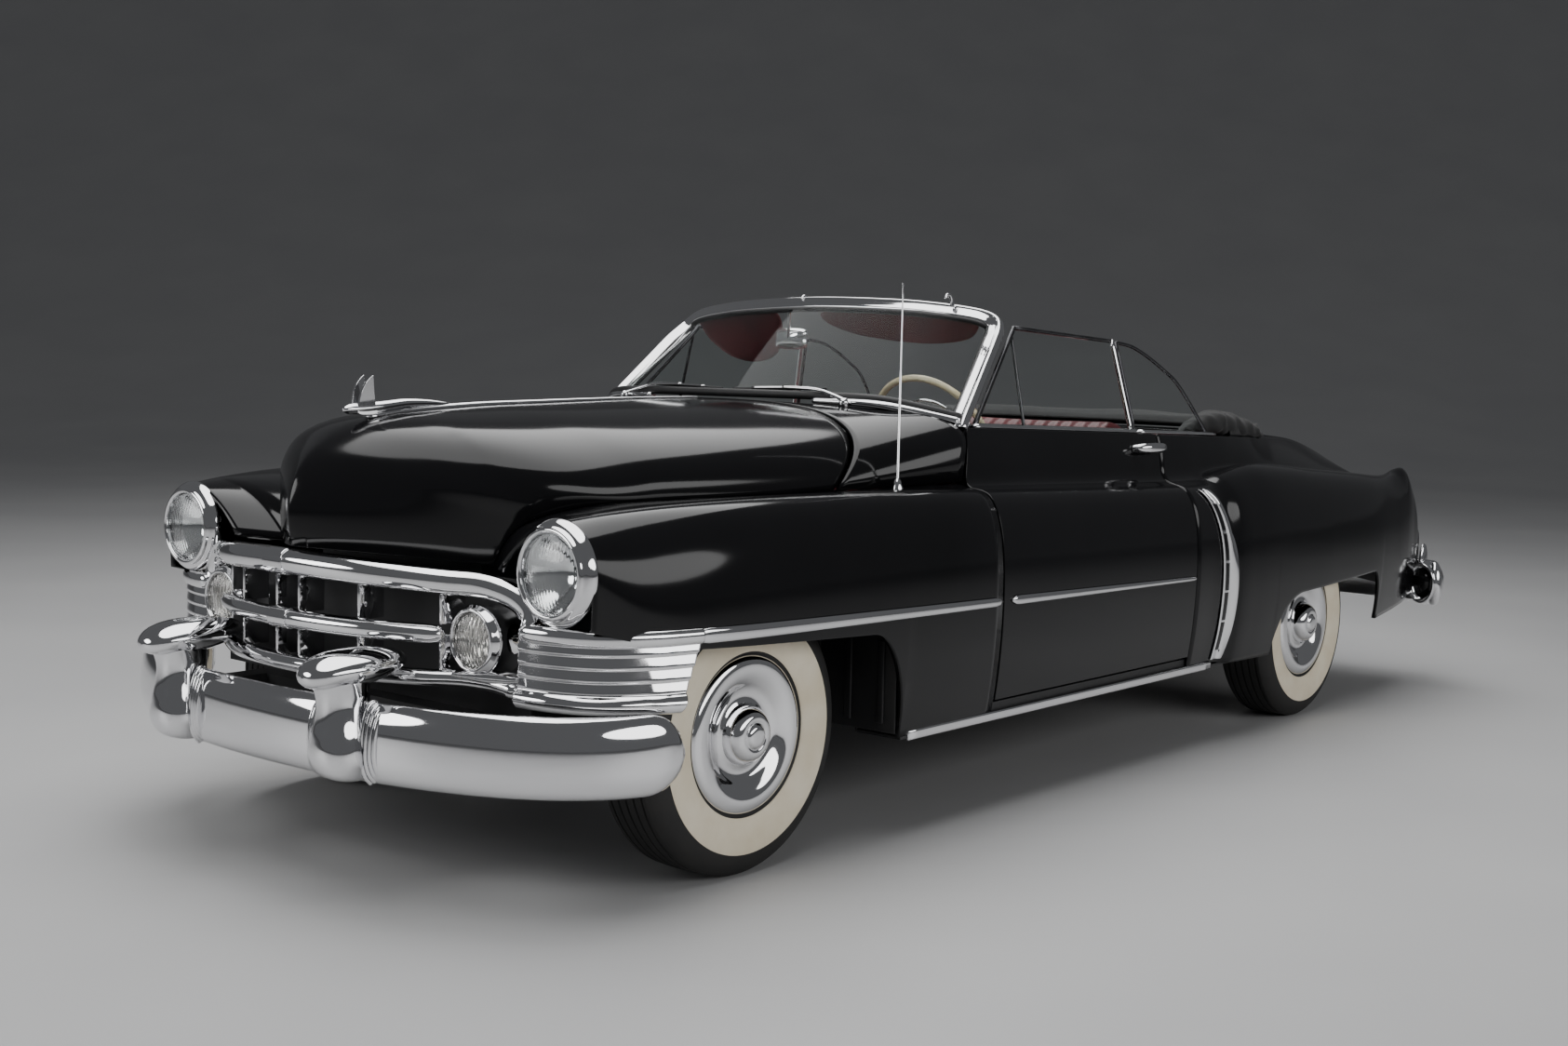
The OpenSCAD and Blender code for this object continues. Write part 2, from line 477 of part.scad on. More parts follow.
// Engine, drive line and exhaust
module engine_block() {
    color("gray") union() {
        box([fire_x + 130, -270, 300], [front_axle_x + 190, 270, 860]);
        box([fire_x - 500, -150, 262], [fire_x + 131, 150, 400]);
    }
}
module radiator() {
    color("dimgray") union() {
        box([front_axle_x + 380, -330, rail_top], [front_axle_x + 440, 330, 900]);
        box([front_axle_x + 380, -rail_out, rail_top], [front_axle_x + 440, rail_out, rail_top + 40]);
    }
}
kingpin_y = front_track / 2 - kingpin_inset;
kingpin_r = 14;
module arm(z, h) {
    translate([0, 0, z]) linear_extrude(h) polygon([[front_axle_x - 100, rail_in + 10], [front_axle_x + 100, rail_in + 10],
        [front_axle_x + 24, kingpin_y], [front_axle_x - 24, kingpin_y]]);
    translate([front_axle_x, kingpin_y, z]) cylinder(r = 30, h = h);
}
module front_suspension() {
    color("dimgray") union() {
        box([front_axle_x - 70, -rail_out, 225], [front_axle_x + 70, rail_out, 300]);
        both_sides() {
            box([front_axle_x - 70, rail_in, 299], [front_axle_x + 70, rail_out, rail_z]);
            box([front_axle_x - 70, rail_in, rail_top], [front_axle_x + 70, rail_out, 500]);
            arm(225, 30);
            arm(472, 26);
            translate([front_axle_x, kingpin_y, 226]) cylinder(r = kingpin_r, h = 270);
        }
    }
}
module knuckle() {
    color("dimgray") difference() {
        union() {
            translate([front_axle_x, kingpin_y, 262]) cylinder(r = 26, h = 202);
            translate([front_axle_x, kingpin_y, tyre_r]) rotate([-90, 0, 0]) cylinder(r = 44, h = 36);
            translate([front_axle_x, kingpin_y + 34, tyre_r]) rotate([-90, 0, 0]) cylinder(r = 138, h = 6);
            translate([front_axle_x, kingpin_y + 34, tyre_r]) rotate([-90, 0, 0])
                cylinder(r = spindle_r, h = kingpin_inset - 34 + 62);
        }
        translate([front_axle_x, kingpin_y, 200]) cylinder(r = kingpin_r + pin_clear, h = 400);
    }
}
module rear_axle() {
    color("dimgray") union() {
        translate([rear_axle_x, -rear_track / 2 + 40, tyre_r]) rotate([-90, 0, 0]) cylinder(r = 40, h = rear_track - 80);
        translate([rear_axle_x, -rear_track / 2 - 62, tyre_r]) rotate([-90, 0, 0])
            cylinder(r = spindle_r, h = rear_track + 124);
        translate([rear_axle_x, 0, tyre_r]) sphere(r = 112);
        rod([rear_axle_x, 0, tyre_r], [fire_x - 506, 0, 335], 34);
        both_sides() {
            translate([rear_axle_x, rear_track / 2 - 26, tyre_r]) rotate([-90, 0, 0]) cylinder(r = 138, h = 6);
            box([rear_axle_x - 40, rail_in + 10, tyre_r], [rear_axle_x + 40, rail_out - 10, kick_z]);
        }
    }
}
pipe_y = 250;
module exhaust() {
    color("dimgray") union() {
        both_sides() {
            rod([front_axle_x - 700, pipe_y, 290], [-700, pipe_y, 290], 28);
            rod([-200, pipe_y, 290], [-650, pipe_y, 290], 70);
            box([-540, pipe_y - 10, 300], [-500, pipe_y + 10, rail_top - 34]);
        }
    }
}
module fuel_tank() {
    color("gray") box([tail_x + 380, -330, rail_top - 60], [rear_axle_x - 330, 330, kick_top]);
}

// Wheels
tread_half = tyre_w / 2 - 26;
rim_half = 82;
module wheel() {
    color("silver") rotate([-90, 0, 0]) rotate_extrude() polygon([
        [0, 66], [spindle_r + pin_clear, 66], [spindle_r + pin_clear, -16], [46, -16], [46, 14], [142, 20], [142, -14],
        [154, -14], [154, 20], [176, 16], [181, -70], [rim_r, -76], [rim_r, -rim_half], [rim_r + 9, -rim_half],
        [rim_r + 9, -rim_half + 8], [rim_r - 6, -68], [rim_r - 6, 68], [rim_r + 9, rim_half - 8], [rim_r + 9, rim_half + 2],
        [rim_r + 2, rim_half + 12], [rim_r - 28, rim_half + 17], [rim_r - 62, rim_half + 11], [rim_r - 98, rim_half - 8],
        [86, rim_half - 8], [80, rim_half + 8], [52, rim_half + 20], [0, rim_half + 24]]);
}
// Fractions of the way from the rim to the tread, and of half the tyre's width
SIDEWALL = [[0, 0.81], [0.11, 0.92], [0.29, 0.985], [0.5, 1], [0.69, 0.97], [0.83, 0.89], [0.92, 0.79], [0.97, 0.68], [1, 0.5]];
module tyre() {
    side = [for (p = SIDEWALL) [mix(rim_r + 9.6, tyre_r, p[0]), p[1] * tyre_w / 2]];
    outer = concat([[rim_r - 5.7, 67], [rim_r + 9.3, 73]], side);
    color("black") rotate([-90, 0, 0]) rotate_extrude()
        polygon(concat(outer, [for (k = [len(outer) - 1:-1:0]) [outer[k][0], -outer[k][1]]]));
}
module at_front_left() { translate([front_axle_x, front_track / 2, tyre_r]) children(); }
module at_rear_left() { translate([rear_axle_x, rear_track / 2, tyre_r]) children(); }

// Steering
wheel_c = [290, 345, 1085];
column_tilt = 30;
module steering_wheel() {
    translate(wheel_c) rotate([0, 90 + column_tilt, 0]) color("wheat") difference() {
        union() {
            rotate_extrude() translate([214, 0]) circle(r = 11, $fn = 16);
            for (a = [0, 180]) rotate([0, 0, a + 90]) rotate([0, 90, 0]) cylinder(r = 9, h = 214);
            translate([0, 0, -14]) cylinder(r = 40, h = 44);
        }
        translate([0, 0, -4]) cylinder(r = 9 + pin_clear, h = 60);
    }
}
module steering_column() {
    color("dimgray") union() {
        translate(wheel_c) rotate([0, 90 + column_tilt, 0]) {
            translate([0, 0, 0]) cylinder(r = 9, h = 50);
            translate([0, 0, 36]) cylinder(r = 24, h = (fire_x - 30 - wheel_c.x) / cos(column_tilt) - 36);
        }
        translate([fire_x - 46, wheel_c.y - 40, wheel_c.z - (fire_x - wheel_c.x) * tan(column_tilt) - 30]) cube([40, 80, 80]);
    }
}

// Dashboard and seats
module dashboard() {
    color("black") translate([0, 684, 0]) rotate([90, 0, 0]) linear_extrude(2 * 684)
        polygon([[door_front_x + 40, 1104], [560, 1112], [536, 1070], [548, 990], [600, 940], [door_front_x + 40, 940]]);
}
module cushion(a, b, r) {
    box(a + [r, 0, 0], b - [r, 0, 0]);
    box(a + [0, 0, r], b - [0, 0, r]);
    for (x = [a.x + r, b.x - r]) for (z = [a.z + r, b.z - r])
        translate([x, a.y, z]) rotate([-90, 0, 0]) cylinder(r = r, h = b.y - a.y, $fn = 24);
}
module front_seat() {
    color("maroon") union() {
        box([-330, -640, floor_z + floor_t], [180, 640, 561]);
        cushion([-360, -690, 560], [250, 690, 740], 60);
        translate([-300, 0, 640]) rotate([0, -9, 0]) cushion([-75, -690, 0], [75, 690, 515], 55);
    }
}
module rear_seat() {
    color("maroon") union() {
        box([-940, -560, floor_z + floor_t], [-560, 560, 601]);
        cushion([-960, -650, 600], [-520, 650, 770], 60);
        translate([-890, 0, 680]) rotate([0, -10, 0]) cushion([-60, -650, 0], [60, 650, 430], 45);
    }
}

// Windshield
screen_top = [480, 0, 1512];
screen_r = 10;
pillar_r = 14;
function on_cowl(y, u) = cowl_at(u, asin((y / COWL_REAR[4]) ^ (cowl_square / 2))) + [0, 0, screen_r + 3];
SCREEN_BASE = [on_cowl(0, 0.94), on_cowl(200, 0.94), on_cowl(400, 0.94), on_cowl(580, 0.94), on_cowl(738, 0.96) + [0, 0, 5]];
SCREEN_TOP = [[screen_top.x, 0, 1506], [screen_top.x - 4, 170, 1503], [screen_top.x - 16, 340, 1496],
    [screen_top.x - 32, 500, 1484], [screen_top.x - 56, 652, 1458]];
function full(row) = concat([for (k = [len(row) - 1:-1:1]) [row[k].x, -row[k].y, row[k].z]], row);
module windshield_frame() {
    top = full(SCREEN_TOP);
    base = full(SCREEN_BASE);
    color("silver") union() {
        tube(concat([base[0]], top, [base[8]]), pillar_r, 8, [1, 0, 0.2]);
        tube(base, screen_r, 8, [0, 0, 1]);
    }
}
function pulled_in(r, d) = let (n = len(r) - 1)
    [for (k = [0:n]) k == n ? mix(r[n - 1], r[n], 1 - d / norm(r[n] - r[n - 1])) : r[k]];
function between_rows(a, b, t) = [for (k = [0:len(a) - 1]) mix(a[k], b[k], t)];
module windshield_glass() {
    base = full(pulled_in(SCREEN_BASE, pillar_r - 0.3));
    top = full(pulled_in(SCREEN_TOP, pillar_r - 0.3));
    outer = [for (t = [0.05, 0.5, 0.95]) between_rows(base, top, t)];
    color("lightblue", 0.4) sheet_between(outer, inner_grid(outer, 6));
}

// Door windows and brightwork
glass_y = 746;
glass_lean = 0.225;
frame_r = 9;
function glass_at(x, z) = [x, glass_y - glass_lean * (z - belt_z), z];
DOOR_WINDOW = [[door_front_x - 130, 0], [door_front_x - 376, 1436], [door_rear_x + 208, 1412], [door_rear_x + 98, 0]];
vent_foot = [door_front_x - 420, 1];
function window_path(w, f) = [for (p = w) glass_at(p[0], p[1] == 0 ? belt(p[0]) + f : p[1])];
module window_foot(x0, x1, y, half, rise) {
    p = [for (t = [1, 0.5, 0]) let (x = mix(x0, x1, t)) [x, y, belt(x) + 6.2 + rise * t]];
    loft(swept(p, [[half, -5.7], [-half, -5.7], [-half, 6], [half, 6]]));
}
module pane(w) {
    translate([0, glass_y, belt_z]) rotate([90 + atan(glass_lean), 0, 0]) translate([0, 0, -3]) linear_extrude(6)
        polygon([for (p = w) [p[0], ((p[1] == 0 ? belt(p[0]) + 16 : p[1]) - belt_z) / cos(atan(glass_lean))]]);
}
module door_glass() {
    color("lightblue", 0.4) pane([for (p = DOOR_WINDOW) [p[0] + (p[0] > 0 ? -16 : 16), p[1] == 0 ? 0 : p[1] - frame_r - 3]]);
}
module door_brightwork() {
    color("silver") union() {
        tube(window_path(DOOR_WINDOW, 11.5), frame_r, 8, [0, 1, 0.2]);
        window_foot(door_rear_x + 90, door_front_x - 120, glass_y, 13, 1.2);
    }
}
strip_h = 26;
strip_t = 5;
function strip_z(x) = wide_z - 12 + 0.0088 * (x - 240);
module side_strip(table, stations) {
    p = [for (x = stations) let (r = row_at(table, x)) [x, r[1] + strip_t + 0.8, strip_z(x)]];
    loft(swept(p, [[strip_t, 0], [0, -strip_h / 2], [-strip_t, -strip_h / 2], [-strip_t, strip_h / 2], [0, strip_h / 2]]));
}
module door_strip() {
    color("silver") union() {
        side_strip(QUARTER, [door_rear_x + 4, -200, 0, 200, 400, 600, hinge_x - 25]);
    }
}
handle_z = 1052;
module door_handle() {
    color("silver") union() {
        rod([door_rear_x + 36, 838, handle_z], [door_rear_x + 170, 836, handle_z + 4], 11);
        rod([door_rear_x + 50, 803, handle_z - 4], [door_rear_x + 50, 838, handle_z], 9);
        rod([door_rear_x + 160, 803, handle_z], [door_rear_x + 160, 836, handle_z + 4], 9);
    }
}
QUARTER_ARC = [[door_rear_x + 76, 0], [door_rear_x + 184, 1408], [door_rear_x + 40, 1398], [-500, 1362], [-600, 1318],
    [-680, 1274], [-765, 1190], [-845, 0]];
module quarter_brightwork() {
    color("silver") union() {
        tube(window_path(QUARTER_ARC, 10), frame_r, 8, [0, 1, 0.2]);
        window_foot(-855, door_rear_x + 88, 764, 22, 0);
    }
}
module quarter_glass() {
    color("lightblue", 0.4) pane([[door_rear_x + 62, 0], [door_rear_x + 166, 1395], [door_rear_x + 38, 1384], [-494, 1349],
        [-592, 1306], [-670, 1262], [-752, 1180], [-828, 0]]);
}
module fixed_glass() {
    windshield_glass();
    both_sides() quarter_glass();
}
// Columns: height, middle of the guard
GUARD = [[310, -640], [436, -680], [600, -679], [733, -637], [866, -569], [925, -520]];
guard_half = 30;
function guard_row(z, out) = [for (s = [1, 0.5, 0, -0.5, -1]) let (x = row_at(GUARD, z)[1] + s * guard_half)
    [x, skin_y(QUARTER, x, z) + out, z]];
module stone_guard() {
    color("silver") loft([for (t = steps(16)) let (z = mix(900, 320, t), back = guard_row(z, 4.4))
        concat(guard_row(z, 8.3), [for (k = [4:-1:0]) back[k]])]);
}
function skin_y(table, x, z) = let (r = row_at(table, x), s = min(1, max(0, (z - r[2]) / (r[4] - r[2]))) ^ (r[9] / 2))
    z < r[2] ? low_y(r, z) : r[3] + (r[1] - r[3]) * sqrt(1 - s * s) ^ (2 / r[9]);
module fender_brightwork() {
    color("silver") union() {
        side_strip(FENDER, concat([door_front_x + shut_gap + 5],
            [for (k = [len(FENDER_STATIONS) - 2:-1:4]) FENDER_STATIONS[k]], [arch_front_x + 60]));
    }
}
louvre_foot = bumper_z + bumper_h / 2 + 4;
module louvre_panel() {
    side = [for (x = [arch_front_x + 4, arch_front_x + 60, arch_front_x + 120, arch_front_x + 200, lamp_x])
        [x, low_y(row_at(FENDER, x), fender_foot(x)) - 4, fender_foot(x) - 0.6]];
    front = [[lamp_x + 8, 800, lamp_z - bezel_r], [lamp_x + 18, 720, lamp_z - bezel_r], [lamp_x + 22, 645, lamp_z - bezel_r]];
    color("silver") loft([for (p = concat(side, front)) [p + [0, 4, 0], [p.x, p.y + 4, louvre_foot],
        [p.x, p.y - 4, louvre_foot], p + [0, -4, 0]]]);
}
module sill_moulding() {
    color("silver") box([-575, 939.5, sill_z - 9], [1200, 947, sill_z + 8]);
    color("silver") box([-575, 938.3, sill_z - 9], [1200, 940, sill_z - 1]);
}

// Lamps
fog = [lamp_x + 60, 521, 632];
nose_panel_x = lamp_x - 36;
module lamp_bezel() {
    color("silver") {
        translate([lamp_x + touch, lamp_y, lamp_z]) rotate([0, 90, 0]) rotate_extrude() polygon([[lens_r + 1, 10],
            [lens_r + 1, 24], [lens_r + 10, 27], [bezel_r - 8, 20], [bezel_r, 6], [bezel_r, 0], [0, 0], [0, 10]]);
        translate([nose_panel_x + touch, fog.y, fog.z]) rotate([0, 90, 0]) rotate_extrude() polygon([[0, 0], [60, 0],
            [fog_r, 60], [fog_r, 90], [fog_r - 10, 96], [fog_r - 12, 80], [0, 80]]);
    }
}
module lamp_lens() {
    color("white") {
        translate([lamp_x + touch + 10.3, lamp_y, lamp_z]) rotate([0, 90, 0]) rotate_extrude() polygon([[0, 0], [lens_r, 0],
            [lens_r, 12], [lens_r - 14, 20], [lens_r - 50, 28], [0, 32]]);
        translate([nose_panel_x + touch + 80.3, fog.y, fog.z]) rotate([0, 90, 0]) rotate_extrude() polygon([[0, 0],
            [fog_r - 14, 0], [fog_r - 14, 10], [fog_r - 34, 17], [0, 21]]);
    }
}
module tail_lamp() {
    color("red") translate([tail_x + 96 - touch, 812, 610]) rotate([0, -90, 0]) rotate_extrude() polygon([[0, 0], [38, 0],
        [38, 10], [30, 22], [0, 30]]);
}

// Grille and bumpers
grille_sweep = 250;
function bow(xc, y) = xc - grille_sweep * (abs(y) / 590) ^ 2.2;
GRILLE_Y = [1, 0.85, 0.65, 0.4, 0.2, 0, -0.2, -0.4, -0.65, -0.85, -1];
module grille_bar(xc, half, z, r) {
    loft(swept([for (t = GRILLE_Y) [bow(xc, t * half), t * half, z]], oval(r, r, 10)));
}
module grille() {
    blade_step = 388 / (grille_blades - 1);
    color("silver") union() {
        grille_bar(2561, 540, 784, bar_r + 2);
        grille_bar(2548, 440, 646, bar_r - 4);
        grille_bar(2540, 500, 538, bar_r - 6);
        for (s = [-1, 1]) for (k = [0:grille_blades - 1]) let (y = s * (42 + blade_step * k), x = bow(2545, y))
            box([x - 60, y - 5, 538], [x, y + 5, 784]);
        both_sides() box([nose_panel_x, 38, 590], [2520, 46, 620]);
    }
}
module nose_panel() {
    color("black") union() {
        box([nose_panel_x - 6, -625, rail_top + touch], [nose_panel_x - touch, 625, 776]);
        translate([0, 0, 770]) linear_extrude(6) polygon(concat([[nose_panel_x - 6, 500], [nose_panel_x - 6, -500]],
            [for (t = GRILLE_Y) [bow(2472, -500 * t), -500 * t]]));
        both_sides() box([nose_panel_x - 40, rail_in + 10, rail_top + touch], [nose_panel_x - 5, rail_out - 10, rail_top + 40]);
    }
}
BUMPER = [[36, 0], [30, -55], [8, -bumper_h / 2], [-16, -bumper_h / 2 + 20], [-22, 0], [-16, bumper_h / 2 - 20],
    [8, bumper_h / 2], [30, 55]];
BUMPER_ANGLES = [90, 80, 68, 55, 40, 25, 12, 0, -12, -25, -40, -55, -68, -80, -90];
function rounded_plan(xc, a, b, p, ang, z) = [xc + a * cos(ang) ^ (2 / p), sign(ang) * b * sin(abs(ang)) ^ (2 / p), z];
// Columns: height, front x, back x, half width
BULLET = [[312, 2640, 2570, 50], [330, 2676, 2560, 66], [380, 2692, 2560, 74], [470, 2700, 2560, 78], [525, 2716, 2560, 80],
    [556, 2735, 2560, 76], [585, 2728, 2556, 68], [612, 2700, 2552, 54], [632, 2650, 2556, 34]];
module bullet(y) {
    loft([for (b = BULLET) [for (k = [0:11]) let (a = 30 * k)
        [mix(b[2], b[1], 0.5 + 0.5 * cos(a)), y - b[3] * sin(a), b[0]]]]);
}
module front_bumper() {
    color("silver") union() {
        loft(swept([for (a = BUMPER_ANGLES) rounded_plan(2134, 480, 958, 2.2, a, bumper_z)], BUMPER));
        for (y = [-340, 340]) bullet(y);
        both_sides() box([front_axle_x + 700, rail_in + 5, rail_z + 10], [2580, rail_out - 5, rail_top - 10]);
    }
}
module rear_bumper() {
    ends = [for (a = BUMPER_ANGLES) if (abs(a) < 85) -a];
    color("silver") union() {
        loft(swept([for (a = ends) let (p = rounded_plan(0, 369, 970, 8, a, bumper_z + 36)) [-2330 - p.x, p.y, p.z]], BUMPER));
        both_sides() box([tail_x + 50, rail_in + 5, rail_top - 20], [tail_x + 250, rail_out - 5, rail_top + 50]);
    }
}

// Folded top, antenna, mirror and ornament
function deck_at(x, a, lift) = let (r = row_at(QUARTER, x), p = arched([0, x, r[8] + 20, x, r[7] - 5, r[8]], a))
    [p.x, p.y, p.z + lift];
TOP_STACK = [[-1425, 8], [-1390, 40], [-1310, 64], [-1210, 80], [-1110, 88], [-1040, 80], [cabin_rear_x - 4, 50]];
TOP_ANGLES = [84, 62, 40, 20, 0, -20, -40, -62, -84];
// The arms of the cover beside the rear seat; columns: station x, inner y, outer y, top and foot over the belt
TOP_ARM = [[cabin_rear_x - 24, 664, 754, 82, 24], [cabin_rear_x + 6, 664, 770, 86, 24], [cabin_rear_x + 80, 664, 770, 86, 1.5],
    [cabin_rear_x + 142, 670, 728, 68, 1.5], [cabin_rear_x + 210, 678, 720, 44, 1.5], [cabin_rear_x + 275, 686, 712, 18, 1.5]];
module folded_top() {
    color("black") union() {
        loft([for (t = TOP_STACK) concat([for (a = TOP_ANGLES) deck_at(t[0], a, 1.2)],
            [for (k = [len(TOP_ANGLES) - 1:-1:0]) deck_at(t[0], TOP_ANGLES[k] * 0.985, t[1])])]);
        both_sides() loft([for (r = TOP_ARM) let (z = belt(r[0]) + r[4], h = r[3] - r[4]) [
            [r[0], r[1], z], [r[0], r[1], z + 0.6 * h], [r[0], mix(r[1], r[2], 0.3), z + h],
            [r[0], mix(r[1], r[2], 0.7), z + h], [r[0], r[2], z + 0.6 * h], [r[0], r[2], z]]]);
    }
}
module antenna() {
    color("silver") translate([1068, 782, 963]) rotate_extrude()
        polygon([[0, 0], [17, 0], [10, 24], [3.5, 30], [3.5, 573], [0, 573]]);
}
module mirror_visors() {
    rail_path = [for (p = full(SCREEN_TOP)) p + [-pillar_r - 5.2, 0, -6]];
    color("maroon") union() {
        tube([for (k = [1:len(rail_path) - 2]) rail_path[k]], 6, 8, [0, 0, 1]);
        both_sides() translate([screen_top.x - 50, 0, 1484]) rotate([0, -60, 0]) box([-140, 190, -5], [2, 470, 5]);
        box([screen_top.x - 40, -10, 1420], [screen_top.x - 20, 10, 1500]);
        box([screen_top.x - 60, -110, 1390], [screen_top.x - 36, 110, 1440]);
    }
}
// Columns: station x, centre height, half width, half height
ORNAMENT = [[2020, 1180, 6, 8], [2080, 1180, 14, 13], [2160, 1178, 17, 16], [2240, 1174, 18, 15], [2310, 1168, 15, 12],
    [2350, 1163, 10, 9], [2372, 1161, 3, 3]];
module hood_ornament() {
    color("silver") union() {
        loft([for (r = ORNAMENT) [for (k = [0:9]) let (a = 36 * k) [r[0], r[2] * cos(a), r[1] - r[3] * sin(a)]]]);
        translate([0, 8, 0]) rotate([90, 0, 0]) linear_extrude(16)
            polygon([[2130, 1159.2 + touch], [2190, 1152.4 + touch], [2190, 1172], [2130, 1172]]);
    }
}

module fender_trim() { fender_brightwork(); louvre_panel(); sill_moulding(); }
module quarter_trim() { quarter_brightwork(); stone_guard(); }
module door_trim() { door_brightwork(); door_strip(); door_handle(); }
module right() { mirror([0, 1, 0]) children(); }

chassis_frame();
floor_pan();
trunk_pan();
firewall();
both_sides() side_sill();  // side_sills
engine_block();
radiator();
front_suspension();
rear_axle();
exhaust();
fuel_tank();
front_fender();  // front_fender_left
right() front_fender();  // front_fender_right
cowl();
windshield_frame();
fixed_glass();
dashboard();
steering_column();
steering_wheel();
quarter();  // quarter_left
right() quarter();  // quarter_right
rear_deck();
tail_panel();
grille();
nose_panel();
front_bumper();
rear_bumper();
both_sides() lamp_bezel();  // lamp_bezels
both_sides() lamp_lens();  // lamp_lenses
both_sides() tail_lamp();  // tail_lamps
fender_trim();  // fender_trim_left
right() fender_trim();  // fender_trim_right
quarter_trim();  // quarter_trim_left
right() quarter_trim();  // quarter_trim_right
antenna();
front_seat();
rear_seat();
folded_top();
mirror_visors();
hood();
hood_ornament();
trunk_lid();
door();  // door_left
right() door();  // door_right
door_trim();  // door_trim_left
right() door_trim();  // door_trim_right
door_glass();  // door_glass_left
right() door_glass();  // door_glass_right
knuckle();  // knuckle_left
right() knuckle();  // knuckle_right
at_front_left() tyre();  // tyre_fl
right() at_front_left() tyre();  // tyre_fr
at_rear_left() tyre();  // tyre_rl
right() at_rear_left() tyre();  // tyre_rr
at_front_left() wheel();  // wheel_fl
right() at_front_left() wheel();  // wheel_fr
at_rear_left() wheel();  // wheel_rl
right() at_rear_left() wheel();  // wheel_rr
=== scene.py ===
import bmesh
import bpy
import math
from mathutils import Matrix, Vector


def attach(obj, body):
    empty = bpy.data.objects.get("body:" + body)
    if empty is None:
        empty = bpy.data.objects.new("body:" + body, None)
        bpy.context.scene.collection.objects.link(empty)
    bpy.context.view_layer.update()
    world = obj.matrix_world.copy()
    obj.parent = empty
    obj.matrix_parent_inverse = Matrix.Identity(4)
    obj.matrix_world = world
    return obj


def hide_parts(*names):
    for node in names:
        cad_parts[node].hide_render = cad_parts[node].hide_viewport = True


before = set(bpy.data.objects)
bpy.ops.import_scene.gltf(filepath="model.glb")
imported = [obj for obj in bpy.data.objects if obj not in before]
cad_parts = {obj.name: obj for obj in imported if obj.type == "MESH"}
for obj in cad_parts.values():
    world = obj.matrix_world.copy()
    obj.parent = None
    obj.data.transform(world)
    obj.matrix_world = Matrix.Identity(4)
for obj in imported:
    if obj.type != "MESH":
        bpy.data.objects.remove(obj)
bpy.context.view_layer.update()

# The viewpoint: a camera a little below roof height off the car's left front corner,
# held with the small tilt that the photograph has.
eye = Vector((5.179, 3.814, 1.286))
sight = Vector((-0.7638, -0.6400, -0.0838)).normalized()
level = sight.cross(Vector((0, 0, 1))).normalized()
lean = math.radians(1.34)
head = level.cross(sight)
photo_right = level * math.cos(lean) + head * math.sin(lean)
photo_up = head * math.cos(lean) - level * math.sin(lean)
lens = bpy.data.cameras.new("photo_lens")
lens.sensor_width = 36
lens.lens = 41.71
lens.clip_end = 200
camera = bpy.data.objects.new("photo_camera", lens)
camera.matrix_world = Matrix.Translation(eye) @ Matrix((photo_right, photo_up, -sight)).transposed().to_4x4()
bpy.context.collection.objects.link(camera)
bpy.context.scene.camera = camera

# The studio: a plain pale floor that runs up into a wall a long way behind the car, a wide soft
# light overhead, a long one at the side, a smaller one ahead of the nose, and a dim even room.
def noisy(name, pale, dark, scale, rough, bump=0.0, bump_scale=1.0, metallic=0.0, **sockets):
    """A material whose colour runs between two shades, with its roughness and fine relief from noise."""
    material = bpy.data.materials.new(name)
    material.use_nodes = True
    nodes, links = material.node_tree.nodes, material.node_tree.links
    shader = nodes["Principled BSDF"]
    place = nodes.new("ShaderNodeTexCoord")
    cloud = nodes.new("ShaderNodeTexNoise")
    cloud.inputs["Scale"].default_value = scale
    cloud.inputs["Detail"].default_value = 4
    links.new(place.outputs["Object"], cloud.inputs["Vector"])
    shades = nodes.new("ShaderNodeValToRGB")
    for stop, position, shade in zip(shades.color_ramp.elements, (0.3, 0.7), (dark, pale)):
        stop.position = position
        stop.color = (*shade, 1)
    links.new(cloud.outputs["Fac"], shades.inputs["Fac"])
    links.new(shades.outputs["Color"], shader.inputs["Base Color"])
    gloss = nodes.new("ShaderNodeMapRange")
    gloss.inputs["To Min"].default_value, gloss.inputs["To Max"].default_value = rough
    links.new(cloud.outputs["Fac"], gloss.inputs["Value"])
    links.new(gloss.outputs["Result"], shader.inputs["Roughness"])
    shader.inputs["Metallic"].default_value = metallic
    for socket, value in sockets.items():
        shader.inputs[socket.replace("_", " ")].default_value = value
    if bump:
        grain = nodes.new("ShaderNodeTexNoise")
        grain.inputs["Scale"].default_value = bump_scale
        grain.inputs["Detail"].default_value = 3
        relief = nodes.new("ShaderNodeBump")
        relief.inputs["Strength"].default_value = bump
        relief.inputs["Distance"].default_value = 0.002
        links.new(place.outputs["Object"], grain.inputs["Vector"])
        links.new(grain.outputs["Fac"], relief.inputs["Height"])
        links.new(relief.outputs["Normal"], shader.inputs["Normal"])
    return material


FLOOR_HALF, WALL_START, WALL_RISE = 40, 16, 0.02
floor_mesh = bmesh.new()
bmesh.ops.create_grid(floor_mesh, x_segments=1, y_segments=40, size=1)
for corner in floor_mesh.verts:
    across, run = corner.co.x * FLOOR_HALF, corner.co.y * FLOOR_HALF
    corner.co = across, run, WALL_RISE * max(0, run - WALL_START) ** 2
turn = math.atan2(sight.x, sight.y)
bmesh.ops.rotate(floor_mesh, verts=floor_mesh.verts, cent=(0, 0, 0), matrix=Matrix.Rotation(-turn, 3, "Z"))
floor_data = bpy.data.meshes.new("studio_floor")
floor_mesh.to_mesh(floor_data)
floor_mesh.free()
floor_data.polygons.foreach_set("use_smooth", [True] * len(floor_data.polygons))
studio_floor = bpy.data.objects.new("studio_floor", floor_data)
bpy.context.collection.objects.link(studio_floor)
floor_data.materials.append(noisy("pale_floor", (0.50, 0.50, 0.50), (0.46, 0.46, 0.465), 0.6, (0.45, 0.6)))
room = bpy.data.worlds.new("studio_room")
room.use_nodes = True
